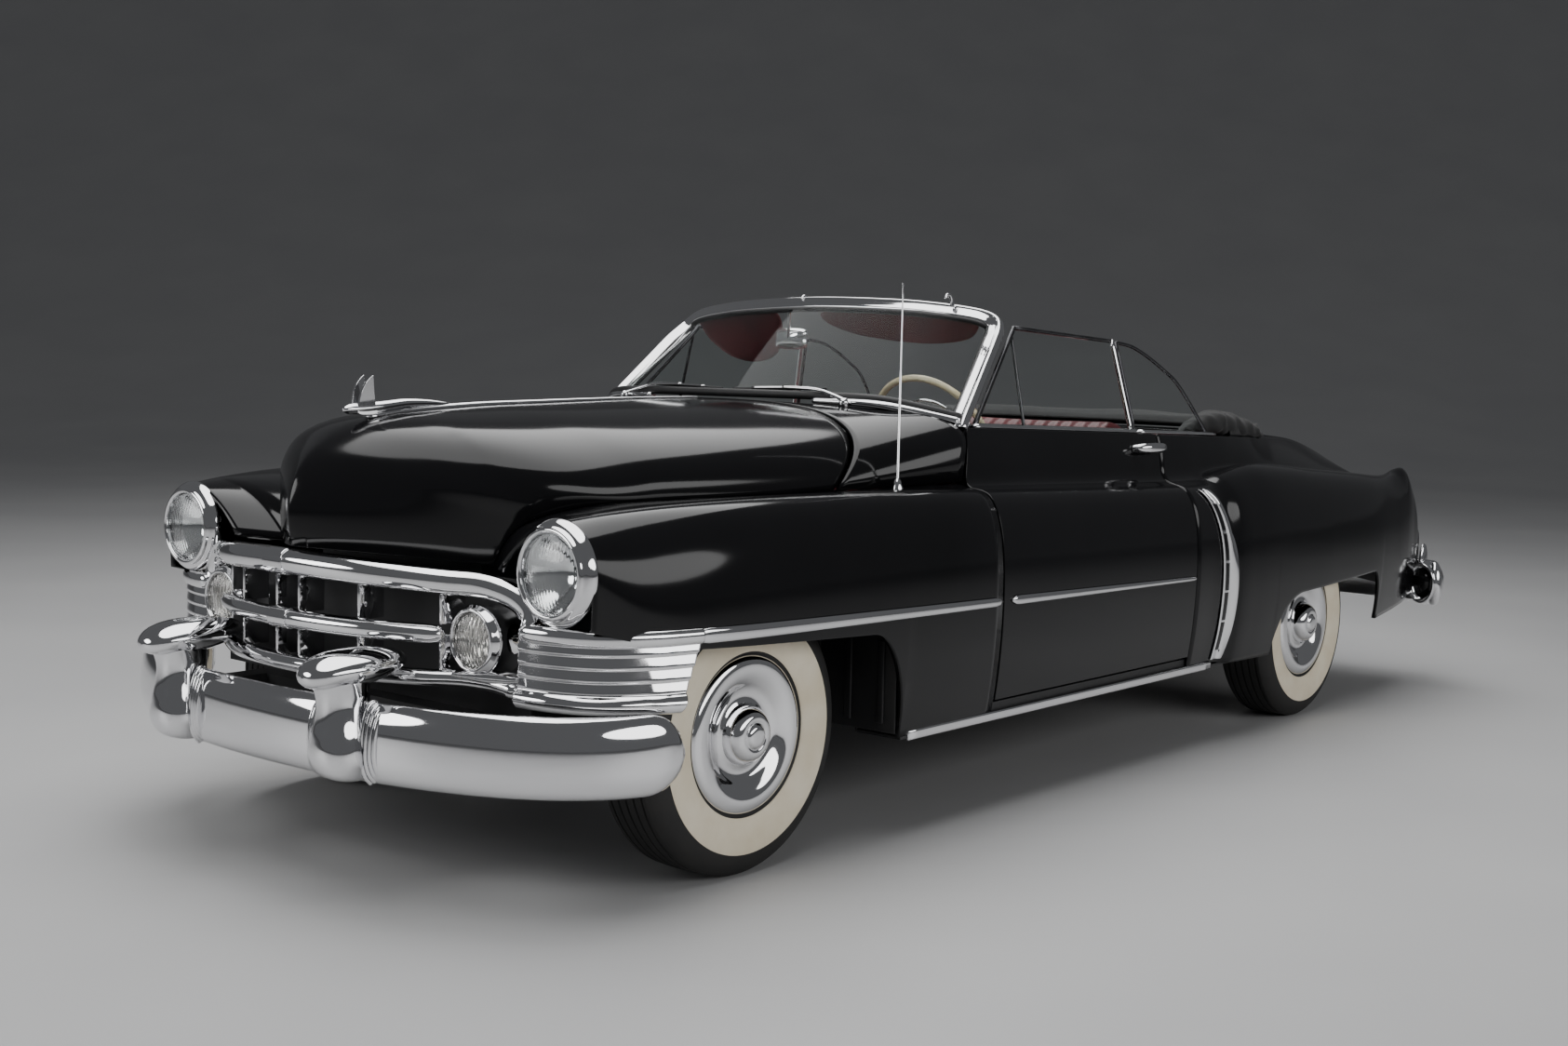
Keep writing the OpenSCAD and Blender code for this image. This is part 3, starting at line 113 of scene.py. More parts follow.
room.node_tree.nodes["Background"].inputs["Color"].default_value = (0.5, 0.51, 0.53, 1)
room.node_tree.nodes["Background"].inputs["Strength"].default_value = 0.2
bpy.context.scene.world = room
for name, place, aim, size, power in [
        ("overhead_light", (0.6, -0.6, 6.6), (0.3, 0, 0), (13.0, 7.0), 760),
        ("side_light", (0.5, 9.5, 3.8), (0, 0, 0.4), (12.0, 3.4), 330),
        ("nose_light", (9.5, -4.5, 3.6), (1.8, 0, 0.7), (5.5, 3.6), 230)]:
    lamp = bpy.data.lights.new(name, "AREA")
    lamp.shape = "ELLIPSE"
    lamp.size, lamp.size_y = size
    lamp.energy = power
    holder = bpy.data.objects.new(name, lamp)
    holder.location = place
    holder.rotation_euler = (Vector(aim) - Vector(place)).to_track_quat("-Z", "Y").to_euler()
    bpy.context.collection.objects.link(holder)

# The front fenders: each is one pressed steel wing in deep gloss black, open over the tyre and
# bolted to the sill, the cowl and the lamp bucket; the right one is the left one mirrored.
MM = 0.001
# A finish is its slot in the library and its material
gloss_black = "black_paint", noisy(
    "gloss_black_paint", (0.0075, 0.0075, 0.0085), (0.0045, 0.0045, 0.005), 1.3, (0.08, 0.13),
    bump=0.015, bump_scale=220, Specular_IOR_Level=0.32, Coat_Weight=0.06, Coat_Roughness=0.03)


def piece(name, mesh, finish, stands_for=(), body="car_body", wall=0.0, edge=0.0, sharp=None):
    """Turns a finished mesh into an object on its body, with its wall, edge rounding and smoothing."""
    slot, material = finish
    data = bpy.data.meshes.new(name)
    mesh.to_mesh(data)
    mesh.free()
    made = bpy.data.objects.new(name, data)
    bpy.context.collection.objects.link(made)
    data.materials.append(material)
    data.polygons.foreach_set("use_smooth", [True] * len(data.polygons))
    if sharp:
        data.set_sharp_from_angle(angle=math.radians(sharp))
    if wall:
        thick = made.modifiers.new("wall", "SOLIDIFY")
        thick.thickness, thick.offset = wall, -1
    if edge:
        soft = made.modifiers.new("edge", "BEVEL")
        soft.width, soft.segments, soft.limit_method = edge, 2, "ANGLE"
        soft.angle_limit = math.radians(50)
    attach(made, body)
    if stands_for:
        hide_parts(*stands_for)
    return made


def pair(name, mesh, finish, stands_for=(), bodies=("car_body", "car_body"), **more):
    """A piece of the left side and its mirror image on the right, each for the nodes of its side."""
    other = mesh.copy()
    bmesh.ops.scale(other, vec=(1, -1, 1), verts=other.verts)
    bmesh.ops.reverse_faces(other, faces=other.faces)
    right_for = [node for node in stands_for if node.endswith("_right")]
    left_for = [node for node in stands_for if node not in right_for]
    return (piece(name + "_left", mesh, finish, left_for, bodies[0], **more),
            piece(name + "_right", other, finish, right_for, bodies[1], **more))


def pressed(columns, rows, place):
    """A sheet pressed from a flat grid: place(u, v) gives each point in millimetres."""
    mesh = bmesh.new()
    bmesh.ops.create_grid(mesh, x_segments=columns, y_segments=rows, size=0.5)
    for point in mesh.verts:
        point.co = Vector(place(point.co.x + 0.5, point.co.y + 0.5)) * MM
    return mesh


def flanged(mesh, depth):
    """Folds the sheet's free edges inwards by depth millimetres."""
    mesh.normal_update()
    inward = {tuple(round(c, 6) for c in point.co): point.normal.copy() for point in mesh.verts}
    rim = [side for side in mesh.edges if side.is_boundary]
    folded = bmesh.ops.extrude_edge_only(mesh, edges=rim)["geom"]
    for point in folded:
        if isinstance(point, bmesh.types.BMVert):
            point.co -= inward[tuple(round(c, 6) for c in point.co)] * depth * MM
    return mesh


def row_at(table, x):
    """The table's row at station x, on a smooth curve through its rows."""
    i = 0
    while i < len(table) - 2 and x > table[i + 1][0]:
        i += 1
    def slope(k):
        a, b = max(k - 1, 0), min(k + 1, len(table) - 1)
        return [(q - p) / (table[b][0] - table[a][0]) for p, q in zip(table[a], table[b])]
    h = table[i + 1][0] - table[i][0]
    t = (x - table[i][0]) / h
    return [(2 * t ** 3 - 3 * t * t + 1) * p + (t ** 3 - 2 * t * t + t) * h * m
            + (3 * t * t - 2 * t ** 3) * q + (t ** 3 - t * t) * h * n
            for p, q, m, n in zip(table[i], table[i + 1], slope(i), slope(i + 1))]


def mix(a, b, t):
    return a + (b - a) * t


def low_y(row, z):
    """How far out the body side stands below its shoulder, where it tucks in a little."""
    return row[1] - 30 * max(0, (row[2] - z) / 340) ** 2


def side_raw(row, foot, v, parts):
    """A point of the body side's section: v runs from the foot over the shoulder to the inner or top edge."""
    low, shoulder, inner = parts
    if v <= low:
        z = mix(foot, row[2], v / low)
        return low_y(row, z), z
    if v <= shoulder:
        a = math.radians(90 * (v - low) / (shoulder - low))
        return (row[3] + (row[1] - row[3]) * max(0, math.cos(a)) ** (2 / row[9]),
                row[2] + (row[4] - row[2]) * math.sin(a) ** (2 / row[9]))
    if v <= inner:
        t = (v - shoulder) / (inner - shoulder)
        return mix(row[3], row[5], t), mix(row[4], row[6], t * t)
    t = (v - inner) / (1 - inner)
    return mix(row[5], row[7], t) + 7 * math.sin(math.pi * t), mix(row[6], row[8], t)


def side_point(row, foot, v, parts):
    """The same section with the crease under the belt eased into a hollow."""
    reach = 0.045 * min(1, 8 * abs(1 - v), 8 * v)
    near = [side_raw(row, foot, min(1, max(0, v + k * reach / 2)), parts) for k in (-2, -1, 0, 1, 2)]
    return sum(p[0] for p in near) / 5, sum(p[1] for p in near) / 5


# Columns: station x, outer y and its height, crown y and z, inner edge y and z, belt y and z,
# and the exponent of the shoulder's round
FENDER = [
    [782, 966, 640, 858, 955, 812, 966, 786, 1129.7, 2.5], [900, 967, 640, 857, 960, 775, 964, 0, 0, 2.5],
    [1130, 968, 640, 855, 964, 704, 957, 0, 0, 2.5], [1300, 968, 640, 852, 966, 686, 951, 0, 0, 2.5],
    [1755, 966, 645, 845, 966, 660, 941, 0, 0, 2.4], [2000, 955, 665, 828, 960, 636, 920, 0, 0, 2.3],
    [2200, 918, 720, 785, 946, 612, 876, 0, 0, 2.1], [2330, 872, 808, 750, 930, 545, 813, 0, 0, 2]]
FENDER_PARTS = (0.3, 0.78, 1.0)
# The seam that the hood and the fenders share, from the cowl to the nose; columns: station x, y and z
SEAM = [
    [1130, 699, 957], [1330, 682, 949], [1650, 645, 945], [1850, 616, 945], [2030, 585, 943],
    [2155, 524, 919], [2210, 470, 882], [2229, 447, 842], [2240, 430, 792]]
SEAM_START, SEAM_END, SEAM_GAP = 1130, 2240, 4
SILL_Z = 300
# The front wheel opening: where its round rear corner starts, that corner's reach, and its front end
ARCH_REAR, ARCH_ROUND, ARCH_FRONT = 1240, 160, 2045


def fender_row(x):
    """A fender's row with the seam as its inner edge, which runs out to the lamp over the last stretch."""
    row = row_at(FENDER, x)
    if x > SEAM_END:
        t = (x - SEAM_END) / 90
        row[5:7] = mix(434, 545, t), mix(792, 800, t)
    elif x > SEAM_START:
        edge = row_at(SEAM, x)
        row[5:7] = edge[1] + SEAM_GAP, edge[2]
    return row


def fender_foot(x):
    """The fender's lower edge: the sill, a round rise behind the tyre, the wheel opening, the wing's top."""
    crest = ARCH_REAR + ARCH_ROUND
    if x <= ARCH_REAR:
        return SILL_Z
    if x < crest:
        return SILL_Z + 300 * math.sqrt(1 - ((crest - x) / ARCH_ROUND) ** 2)
    if x < ARCH_FRONT:
        return mix(600, 626, (x - crest) / (ARCH_FRONT - crest))
    return mix(626, 682, ((x - ARCH_FRONT) / 285) ** 1.5)


arch_turn = [ARCH_REAR + ARCH_ROUND * (1 - math.cos(math.radians(a))) for a in range(0, 91, 6)]
nose_turn = [2160, 2172, 2184, 2195, 2204, 2211, 2217, 2222, 2226, 2230, 2234, 2237, 2240, 2246]
fender_stations = sorted(
    [791 + k * 37.4 for k in range(12)] + arch_turn + [1425 + k * 30 for k in range(25)]
    + nose_turn + [2258 + k * 12 for k in range(7)], reverse=True)


def fender_place(u, v):
    x = fender_stations[round(u * (len(fender_stations) - 1))]
    return x, *side_point(fender_row(x), fender_foot(x), v, FENDER_PARTS)


fender = flanged(pressed(len(fender_stations) - 1, 56, fender_place), 16)
pair("front_fender_skin", fender, gloss_black, ["front_fender_left", "front_fender_right"], wall=0.003)

# The hood: a tall crowned steel lid over the engine, hinged at the cowl, its nose drawn down
# to the grille bar. Its edges follow the fenders' seam.
# Columns: row, centre x and z, station x of its edge on the seam, exponent of the crown's round
HOOD_FORM = [
    [0, 2522, 822, 2240, 1.12], [1, 2533, 868, 2233, 1.12], [2, 2532, 940, 2222, 1.14],
    [3, 2505, 1015, 2195, 1.22], [4, 2438, 1080, 2140, 1.45], [5, 2300, 1140, 2020, 1.85],
    [6, 2000, 1168, 1850, 2.25], [7, 1700, 1180, 1650, 2.45], [8, 1340, 1191, 1410, 2.6],
    [9, 1010, 1196, 1240, 2.9]]
HOOD = [[k, x, z, edge, row_at(SEAM, edge)[1] - SEAM_GAP, row_at(SEAM, edge)[2], power]
        for k, x, z, edge, power in HOOD_FORM]


def arched(row, a, power=2.5):
    """A point of a crowned row: a is 0 at its middle and 90 degrees at its edges."""
    c = max(0, math.cos(math.radians(abs(a)))) ** (2 / power)
    s = math.sin(math.radians(abs(a))) ** (2 / power)
    return mix(row[3], row[1], c), math.copysign(row[4] * s, a), mix(row[5], row[2], c)


def hood_place(u, v):
    row = row_at(HOOD, 9 * u)
    return arched(row, 90 - 180 * v, row[6])


hood = pressed(96, 84, hood_place)
prow = [v for v in hood.verts if v.co.x > 2.25 and not v.is_boundary]
keen = [v.co.copy() for v in prow]
for _ in range(14):
    bmesh.ops.smooth_vert(hood, verts=prow, factor=0.5, use_axis_x=True, use_axis_y=True, use_axis_z=True)
# Near its lip the prow keeps its keen edge.
for point, was in zip(prow, keen):
    point.co = was.lerp(point.co, min(1, max(0, (was.z - 0.85) / 0.2)))
piece("hood_skin", flanged(hood, 18), gloss_black, ["hood"], "hood", wall=0.003)

# The cowl: the fixed steel panel between the hood and the windshield, welded to the body and
# running out over the fender tops to the doors.
COWL_FRONT = [0, 1001, 1196, 1230, 695, 956]
COWL_REAR = [0, 922, 1186, 791, 806, 975]
DOOR_GAP = 9


def signed(value, power):
    return math.copysign(abs(value) ** power, value)


def door_edge(z):
    """The door's front edge, which leans back above the shoulder."""
    return 782 - 40 * (max(0, z - 866) / 250) ** 2


def cowl_rear(a):
    x, y, z = arched(COWL_REAR, a, 5)
    return max(922 - 168 * (abs(y) / 786) ** 2.2, door_edge(z) + DOOR_GAP), y, z


def cowl_point(u, a):
    return [mix(p, q, u) for p, q in zip(arched(COWL_FRONT, a, 2.9), cowl_rear(a))]


cowl = pressed(20, 96, lambda u, v: cowl_point(u, -90 * signed(2 * v - 1, 1.5)))
piece("cowl_skin", flanged(cowl, 12), gloss_black, ["cowl"], wall=0.003)

# The doors: steel boxes as thick as the real ones, with a skin that carries the fender line on
# to the rear quarter and a flat ledge at the belt for the glass.
DOORS = ("door_left", "door_right")
DOOR_FRONT, DOOR_REAR, DOOR_FOOT, DOOR_THICK = 782, -400, 345, 80


def belt(x):
    """Height of the line at the foot of the side windows."""
    return 1109 + 0.0265 * x


# The fender table's columns, from the fin's end to the cowl
QUARTER = [
    [-2632, 872, 600, 838, 690, 760, 668, 545, 690, 2.4],
    [-2580, 886, 615, 846, 800, 762, 740, 548, 790, 2.4],
    [-2500, 903, 630, 852, 876, 766, 800, 552, 880, 2.4],
    [-2409, 925, 640, 856, 938, 768, 842, 556, 935, 2.4],
    [-2335, 940, 640, 856, 916, 752, 862, 562, 960, 2.4],
    [-2203, 958, 640, 850, 909, 730, 878, 575, 993, 2.4],
    [-1900, 988, 650, 848, 930, 742, 902, 612, 1045, 2.4],
    [-1445, 1009, 655, 850, 961, 772, 936, 690, 1074, 2.4],
    [-1200, 1012, 655, 852, 980, 788, 952, 748, 1079, 2.4],
    [-950, 1010, 655, 856, 989, 798, 962, 776, belt(-950), 2.4],
    [-800, 1004, 650, 860, 975, 804, 960, 781, belt(-800), 2.4],
    [-675, 992, 645, 862, 950, 808, 956, 784, belt(-675), 2.5],
    [-630, 967, 640, 862, 930, 810, 956, 785, belt(-630), 2.5],
    [-400, 966, 640, 862, 928, 812, 957, 786, belt(-400), 2.5],
    [782, 966, 640, 858, 955, 812, 966, 786, belt(782), 2.5]]
SIDE_PARTS = (0.25, 0.65, 0.76)


def door_place(u, v):
    """Round the door's section: up the skin, over the ledge and down the inner face."""
    row = row_at(QUARTER, mix(DOOR_FRONT, DOOR_REAR, u))
    if v <= 0.7:
        y, z = side_point(row, DOOR_FOOT, v / 0.7, SIDE_PARTS)
        return mix(door_edge(z), DOOR_REAR, u), y, z
    t = min(1, max(0, (v - 0.74) / 0.26))
    y, z = side_point(row, DOOR_FOOT, 1 - t, SIDE_PARTS)
    return mix(door_edge(z) - 42, DOOR_REAR + 42, u), min(y, 880) - DOOR_THICK, z


def closed(mesh):
    """Joins the sheet's two long edges into a tube and fills its ends."""
    bmesh.ops.remove_doubles(mesh, verts=mesh.verts, dist=0.00005)
    bmesh.ops.holes_fill(mesh, edges=[side for side in mesh.edges if side.is_boundary])
    bmesh.ops.recalc_face_normals(mesh, faces=mesh.faces)
    return mesh


door = closed(pressed(40, 90, lambda u, v: door_place(u, v if v < 0.9999 else 0)))
pair("door_shell", door, gloss_black, DOORS, DOORS, edge=0.002, sharp=50)

# The rear quarters: the swelling steel sides behind the doors, open low over the rear tyre,
# whose crowns run back and rise into the small tail fins.
TAIL_X = -2632


def quarter_foot(x):
    """The quarter's lower edge: the sill, the wheel opening with its round corners, the tail's skirt."""
    if x >= -960:
        return SILL_Z
    if x > -1190:
        return SILL_Z + 216 * math.sqrt(max(0, 1 - ((x + 1190) / 230) ** 2))
    if x > -1890:
        return mix(516, 540, (-1190 - x) / 700)
    if x > -1975:
        return 338 + 202 * math.sqrt(max(0, 1 - ((-1890 - x) / 85) ** 2))
    return mix(338, 398, (-1975 - x) / 760)


quarter_stations = sorted(
    [-409 - k * 24 for k in range(23)]
    + [-1190 + 230 * math.cos(math.radians(a)) for a in range(90, -1, -6)]
    + [-1215 - k * 30.5 for k in range(22)]
    + [-1890 - 85 * math.sin(math.radians(a)) for a in range(0, 91, 9)]
    + [-2000 - k * 22.6 for k in range(28)] + [TAIL_X], reverse=True)


def quarter_place(u, v):
    x = quarter_stations[round(u * (len(quarter_stations) - 1))]
    return x, *side_point(row_at(QUARTER, x), quarter_foot(x), v, SIDE_PARTS)


quarter = flanged(pressed(len(quarter_stations) - 1, 72, quarter_place), 14)
pair("rear_quarter_skin", quarter, gloss_black, ["quarter_left", "quarter_right"], wall=0.003)

# The trunk lid and the deck before it: crowned steel sheets with folded edges, the deck welded
# to the quarters and the lid hinged at its front edge.
# Columns: row, centre x and z, edge x, y and z
LID = [
    [0, -1490, 1094, -1490, 668, 1074], [1, -1900, 1066, -1900, 602, 1046], [2, -2203, 1012, -2203, 565, 995],
    [3, -2409, 952, -2409, 547, 937], [4, -2520, 886, -2500, 543, 876], [5, -2595, 794, -2575, 538, 788],
    [6, -2627, 694, -2627, 534, 692]]


def deck_point(x, a, lift=0.0):
    row = row_at(QUARTER, x)
    x, y, z = arched([0, x, row[8] + 20, x, row[7] - 5, row[8]], a)
    return x, y, z + lift


lid = pressed(60, 48, lambda u, v: arched(row_at(LID, 6 * u), 90 - 180 * v))
piece("trunk_lid_skin", flanged(lid, 16), gloss_black, ["trunk_lid"], "trunk_lid", wall=0.003)
deck = pressed(16, 48, lambda u, v: deck_point(mix(-1010, -1481, u), 90 - 180 * v))
piece("rear_deck_skin", flanged(deck, 10), gloss_black, ["rear_deck"], wall=0.003)

# The tail panel: a flat steel pressing in body black under the trunk lid, welded between the
# quarters; its outline follows their section at the tail.
FORWARD = (1, 0, 0)


def steps(a, b, count):
    return [mix(a, b, k / count) for k in range(count + 1)]


def plate(corners, thick, way=None):
    """A flat plate: an outline in millimetres, filled and drawn out along a way or the face's own normal."""
    mesh = bmesh.new()
    outline = [mesh.verts.new([c * MM for c in corner]) for corner in corners]
    face = bmesh.ops.contextual_create(mesh, geom=outline)["faces"][0]
    face.normal_update()
    grown = bmesh.ops.extrude_face_region(mesh, geom=[face])["geom"]
    drawn = [point for point in grown if isinstance(point, bmesh.types.BMVert)]
    bmesh.ops.translate(mesh, vec=Vector(way or face.normal) * thick * MM, verts=drawn)
    bmesh.ops.recalc_face_normals(mesh, faces=mesh.faces)
    return mesh


tail_row, tail_foot = row_at(QUARTER, TAIL_X), quarter_foot(TAIL_X)
tail_side = [side_point(tail_row, tail_foot, v, SIDE_PARTS) for v in steps(0, 1, 30)]
half_tail = [(740, 510)] + tail_side + [(545, 683), (0, 683)]
tail_outline = [(0, 510)] + half_tail + [(-y, z) for y, z in reversed(half_tail[:-1])]
tail = plate([(TAIL_X - 7, y, z) for y, z in tail_outline], 6.6, FORWARD)
piece("tail_panel_skin", tail, gloss_black, ["tail_panel"], edge=0.0015, sharp=30)

# The front bumper: one deep pressing of plated spring steel that wraps round to the wheel
# openings, with two hollow guards bolted over it.
chrome = "chrome", noisy(
    "bright_chrome", (0.86, 0.86, 0.87), (0.80, 0.80, 0.815), 2.2, (0.03, 0.075),
    bump=0.012, bump_scale=30, metallic=1.0)


def curve(points, count, loop=False):
    """Evenly stepped points on a smooth curve through the given ones."""
    n = len(points)
    spans = n if loop else n - 1
    found = []
    for k in range(count if loop else count + 1):
        place = spans * k / count
        i = min(int(place), spans - 1)
        t = place - i
        near = (i - 1, i, i + 1, i + 2)
        a, b, c, d = (Vector(points[j % n if loop else min(max(j, 0), n - 1)]) for j in near)
        found.append(0.5 * (2 * b + (c - a) * t + (2 * a - 5 * b + 4 * c - d) * t * t
                            + (3 * b - a - 3 * c + d) * t ** 3))
    return found


def rings_mesh(rings):
    """A closed tube through rings of points."""
    n, m = len(rings) - 1, len(rings[0])
    return closed(pressed(n, m, lambda u, v: rings[round(u * n)][round(v * m) % m]))


def swept(path, section, up=(0, 0, 1)):
    """A solid bar: a section of (out, up) offsets, or a function of the way along, carried along a path."""
    path = [Vector(p) for p in path]
    rings = []
    for i, spot in enumerate(path):
        along = (path[min(i + 1, len(path) - 1)] - path[max(i - 1, 0)]).normalized()
        out = Vector(up).cross(along).normalized()
        rise = along.cross(out)
        shape = section(i / (len(path) - 1)) if callable(section) else section
        rings.append([spot + out * s[0] + rise * s[1] for s in shape])
    return rings_mesh(rings)


def oval(a, b, count=24):
    turns = [2 * math.pi * k / count for k in range(count)]
    return [(a * math.cos(turn), b * math.sin(turn)) for turn in turns]


def wrapped(xc, a, b, p, count, limit=90, side=1):
    """The plan of a bumper: a bar that wraps round the car's end."""
    turns = [math.radians(limit * signed(1 - 2 * k / count, 0.75)) for k in range(count + 1)]
    return [(xc + side * a * max(0, math.cos(turn)) ** (2 / p), side * b * signed(math.sin(turn), 2 / p))
            for turn in turns]


def drawn_in(t, keen, least=0.0):
    """The share of its full section that a bar has at t along it, with a round end at both sides."""
    end = min(1, keen * min(t, 1 - t))
    return math.sqrt(max(least, 1 - (1 - end) ** 2))


def joined(*meshes):
    """Several meshes as one."""
    whole = bmesh.new()
    for mesh in meshes:
        part = bpy.data.meshes.new("part")
        mesh.to_mesh(part)
        mesh.free()
        whole.from_mesh(part)
        bpy.data.meshes.remove(part)
    return whole


BAR_X, BAR_REACH, BAR_HALF, BAR_POWER, BAR_Z = 2134, 480, 958, 2.2, 398
bumper_face = curve([
    (36, -12), (34, -46), (24, -76), (8, -94), (-10, -92), (-12, -80), (-15, 0), (-12, 78), (-8, 92),
    (8, 94), (22, 74), (32, 38)], 60, True)


def bumper_section(t):
    """The bar's section, drawn in to a round end at both sides."""
    tall = drawn_in(t, 14) * 0.75 + 0.25
    return [(out * (0.5 + 0.5 * tall), rise * tall) for out, rise in bumper_face]


bumper_plan = wrapped(BAR_X, BAR_REACH, BAR_HALF, BAR_POWER, 120)
bumper = swept([(x, y, BAR_Z) for x, y in bumper_plan], bumper_section)
piece("front_bumper_bar", bumper, chrome, ["front_bumper"])
# Columns of a guard's upright: height, front x, half width
UPRIGHT = [
    [304, 2626, 30], [312, 2660, 56], [332, 2684, 70], [366, 2696, 76], [410, 2692, 72], [455, 2684, 62],
    [492, 2682, 57], [520, 2688, 60], [545, 2700, 64], [560, 2700, 62]]
UPRIGHT_REAR = 2562
# Columns of its bullet: station x, height, half width, half height
BULLET = [
    [2735, 557, 1, 1], [2732, 558, 22, 13], [2721, 560, 42, 25], [2696, 564, 63, 36], [2658, 568, 76, 43],
    [2610, 570, 81, 45], [2558, 573, 77, 42], [2510, 577, 65, 33], [2472, 580, 46, 22], [2456, 581, 10, 5]]
saddle_face = curve([(-6, 93), (8, 95), (22, 75), (32, 38), (36, -12), (34, -46), (24, -76), (8, -95)], 40)


def saddle_rib(y, rib):
    """One rib of the saddle that carries a guard's side over on to the bar, the lower the further out."""
    bar_x = BAR_X + BAR_REACH * (1 - (abs(y) / BAR_HALF) ** BAR_POWER) ** (1 / BAR_POWER)
    path = [(bar_x + out + 5 - rib, y, BAR_Z + rise * (1 - 0.06 * rib)) for out, rise in saddle_face]
    return swept(path, oval(6.5, 4.5, 14), up=(0, 1, 0))


for side, y in (("left", 340), ("right", -340)):
    upright = [[(mix(UPRIGHT_REAR, front, 0.5 + 0.5 * signed(c, 0.8)), y - half * signed(d, 0.85), z)
                for c, d in oval(1, 1, 40)] for z, front, half in curve(UPRIGHT, 48)]
    piece("bumper_guard_" + side, rings_mesh(upright), chrome)
    bullet = [[(x, y + a, z + b) for a, b in oval(half, tall, 40)] for x, z, half, tall in curve(BULLET, 54)]
    piece("bumper_guard_" + side + "_bullet", rings_mesh(bullet), chrome)
    ribs = [saddle_rib(y + way * (70 + 11 * rib), rib) for way in (-1, 1) for rib in range(4)]
    piece("bumper_saddle_" + side, joined(*ribs), chrome)

# The rear bumper: the same deep plated pressing, wrapped round the tail and bolted to the frame.
# Each end is a rounded pod with a small upright fin on it; the black disc in its mouth is painted shade,
# standing for the dark hollow inside.
rear_plan = wrapped(-2330, 369, 970, 8, 96, limit=80, side=-1)
piece("rear_bumper_bar", swept([(x, y, 434) for x, y in rear_plan], bumper_section), chrome, ["rear_bumper"])
POD_Y, POD_Z, POD_HALF, POD_TALL = 918, 434, 58, 88
pod_form = [(-2592, 0.76)] + curve([
    (-2562, 0.80), (-2558, 0.93), (-2566, 1.0), (-2600, 1.06), (-2650, 1.04), (-2690, 0.92), (-2716, 0.70),
    (-2728, 0.40), (-2731, 0.08)], 48)


def pod_ring(x, size):
    return [(x, POD_Y + a, POD_Z + b) for a, b in oval(POD_HALF * size, POD_TALL * size, 40)]


fin_form = ((500, 1.0), (530, 0.98), (560, 0.86), (582, 0.64), (594, 0.36), (598, 0.06))
fin = [[(-2676 + a * size, 880 + b * size, z) for a, b in oval(36, 14.88, 32)] for z, size in fin_form]
pod = [pod_ring(x, size) for x, size in pod_form]
pair("rear_bumper_tip", joined(rings_mesh(pod), rings_mesh(fin)), chrome)
pair("rear_bumper_mouth_painted_shade", rings_mesh([pod_ring(x, 0.77) for x in (-2588, -2594)]), gloss_black)

# The grille: three plated die-cast bars bowed round the nose, screwed to the nose panel, with
# upright blades set back between them.
BOW_HALF = 590


def bow(xc, y):
    return xc - 250 * (abs(y) / BOW_HALF) ** 2.2


def bar_mesh(half_path, tall, deep, count=120):
    """A bar through a half path and its mirror image, drawn in at its tips."""
    path = curve([(x, -y, z) for x, y, z in reversed(half_path[1:])] + half_path, count)[::-1]
    def section(t):
        size = drawn_in(t, 20, 0.02)
        return oval(deep * size, tall * size, 28)
    return swept(path, section, up=(0.25, 0, 1))


def boxes(corners, rounding=0.0, segments=2):
    """Blocks, each between its low and its high corner, with their edges rounded."""
    mesh = bmesh.new()
    for pair_of_corners in corners:
        low, high = (Vector(corner) * MM for corner in pair_of_corners)
        block = bmesh.ops.create_cube(mesh, size=1)["verts"]
        bmesh.ops.scale(mesh, vec=high - low, verts=block)
        bmesh.ops.translate(mesh, vec=(low + high) / 2, verts=block)
    if rounding:
        bmesh.ops.bevel(mesh, geom=mesh.edges[:], offset=rounding, segments=segments, profile=0.5,
            affect="EDGES", material=-1)
    return mesh


TOP_X, MIDDLE_X, LOW_X = 2556, 2548, 2540
top_half = [(bow(TOP_X, y), y, 789 - 27 * (y / 520) ** 1.7) for y in (0, 70, 150, 230, 310, 390, 460)] + [
    (2370, 520, 763), (2347, 574, 752), (2331, 614, 736), (2321, 641, 713), (2318, 653, 688),
    (2321, 654, 662), (2328, 648, 640)]
middle_half = [(bow(MIDDLE_X, y), y, 648 - 8 * (y / 450) ** 1.7) for y in (0, 90, 180, 270, 360, 450)]
low_half = [(bow(LOW_X, y), y, 536) for y in (0, 100, 200, 300, 400, 480)] + [
    (2352, 545, 531), (2344, 600, 524), (2346, 640, 519)]
piece("grille_bar_top", bar_mesh(top_half, 31, 28, 160), chrome, ["grille"])
piece("grille_bar_middle", bar_mesh(middle_half, 24, 24), chrome)
piece("grille_bar_low", bar_mesh(low_half, 21, 23), chrome)
# The castings that lap over the bars' joints at the prow.
caps = [swept([(bow(front, y) + 2.5, y, z) for y in steps(36, -36, 8)], oval(deep, tall, 28))
        for front, z, tall, deep in ((TOP_X, 789, 33.5, 30), (MIDDLE_X, 648, 26.5, 26))]
piece("grille_prow_caps", joined(*caps), chrome, edge=0.003, sharp=40)
blade_places = [(bow(LOW_X, y) - 38, y, z, tall / 2) for y in (-434, -240, -46, 46, 240, 434)
                for z, tall in ((716, 106), (592, 92))]
blades = [((x - 37.5, y - 4, z - half), (x + 37.5, y + 4, z + half)) for x, y, z, half in blade_places]
piece("grille_blades", boxes(blades, 0.002), chrome)

# The headlamps: a plated rim round a clear fluted lens, with a silvered bowl behind it; the
# lamps are screwed into buckets at the fenders' ends.
HEADLAMP = (2330, 750, 808)


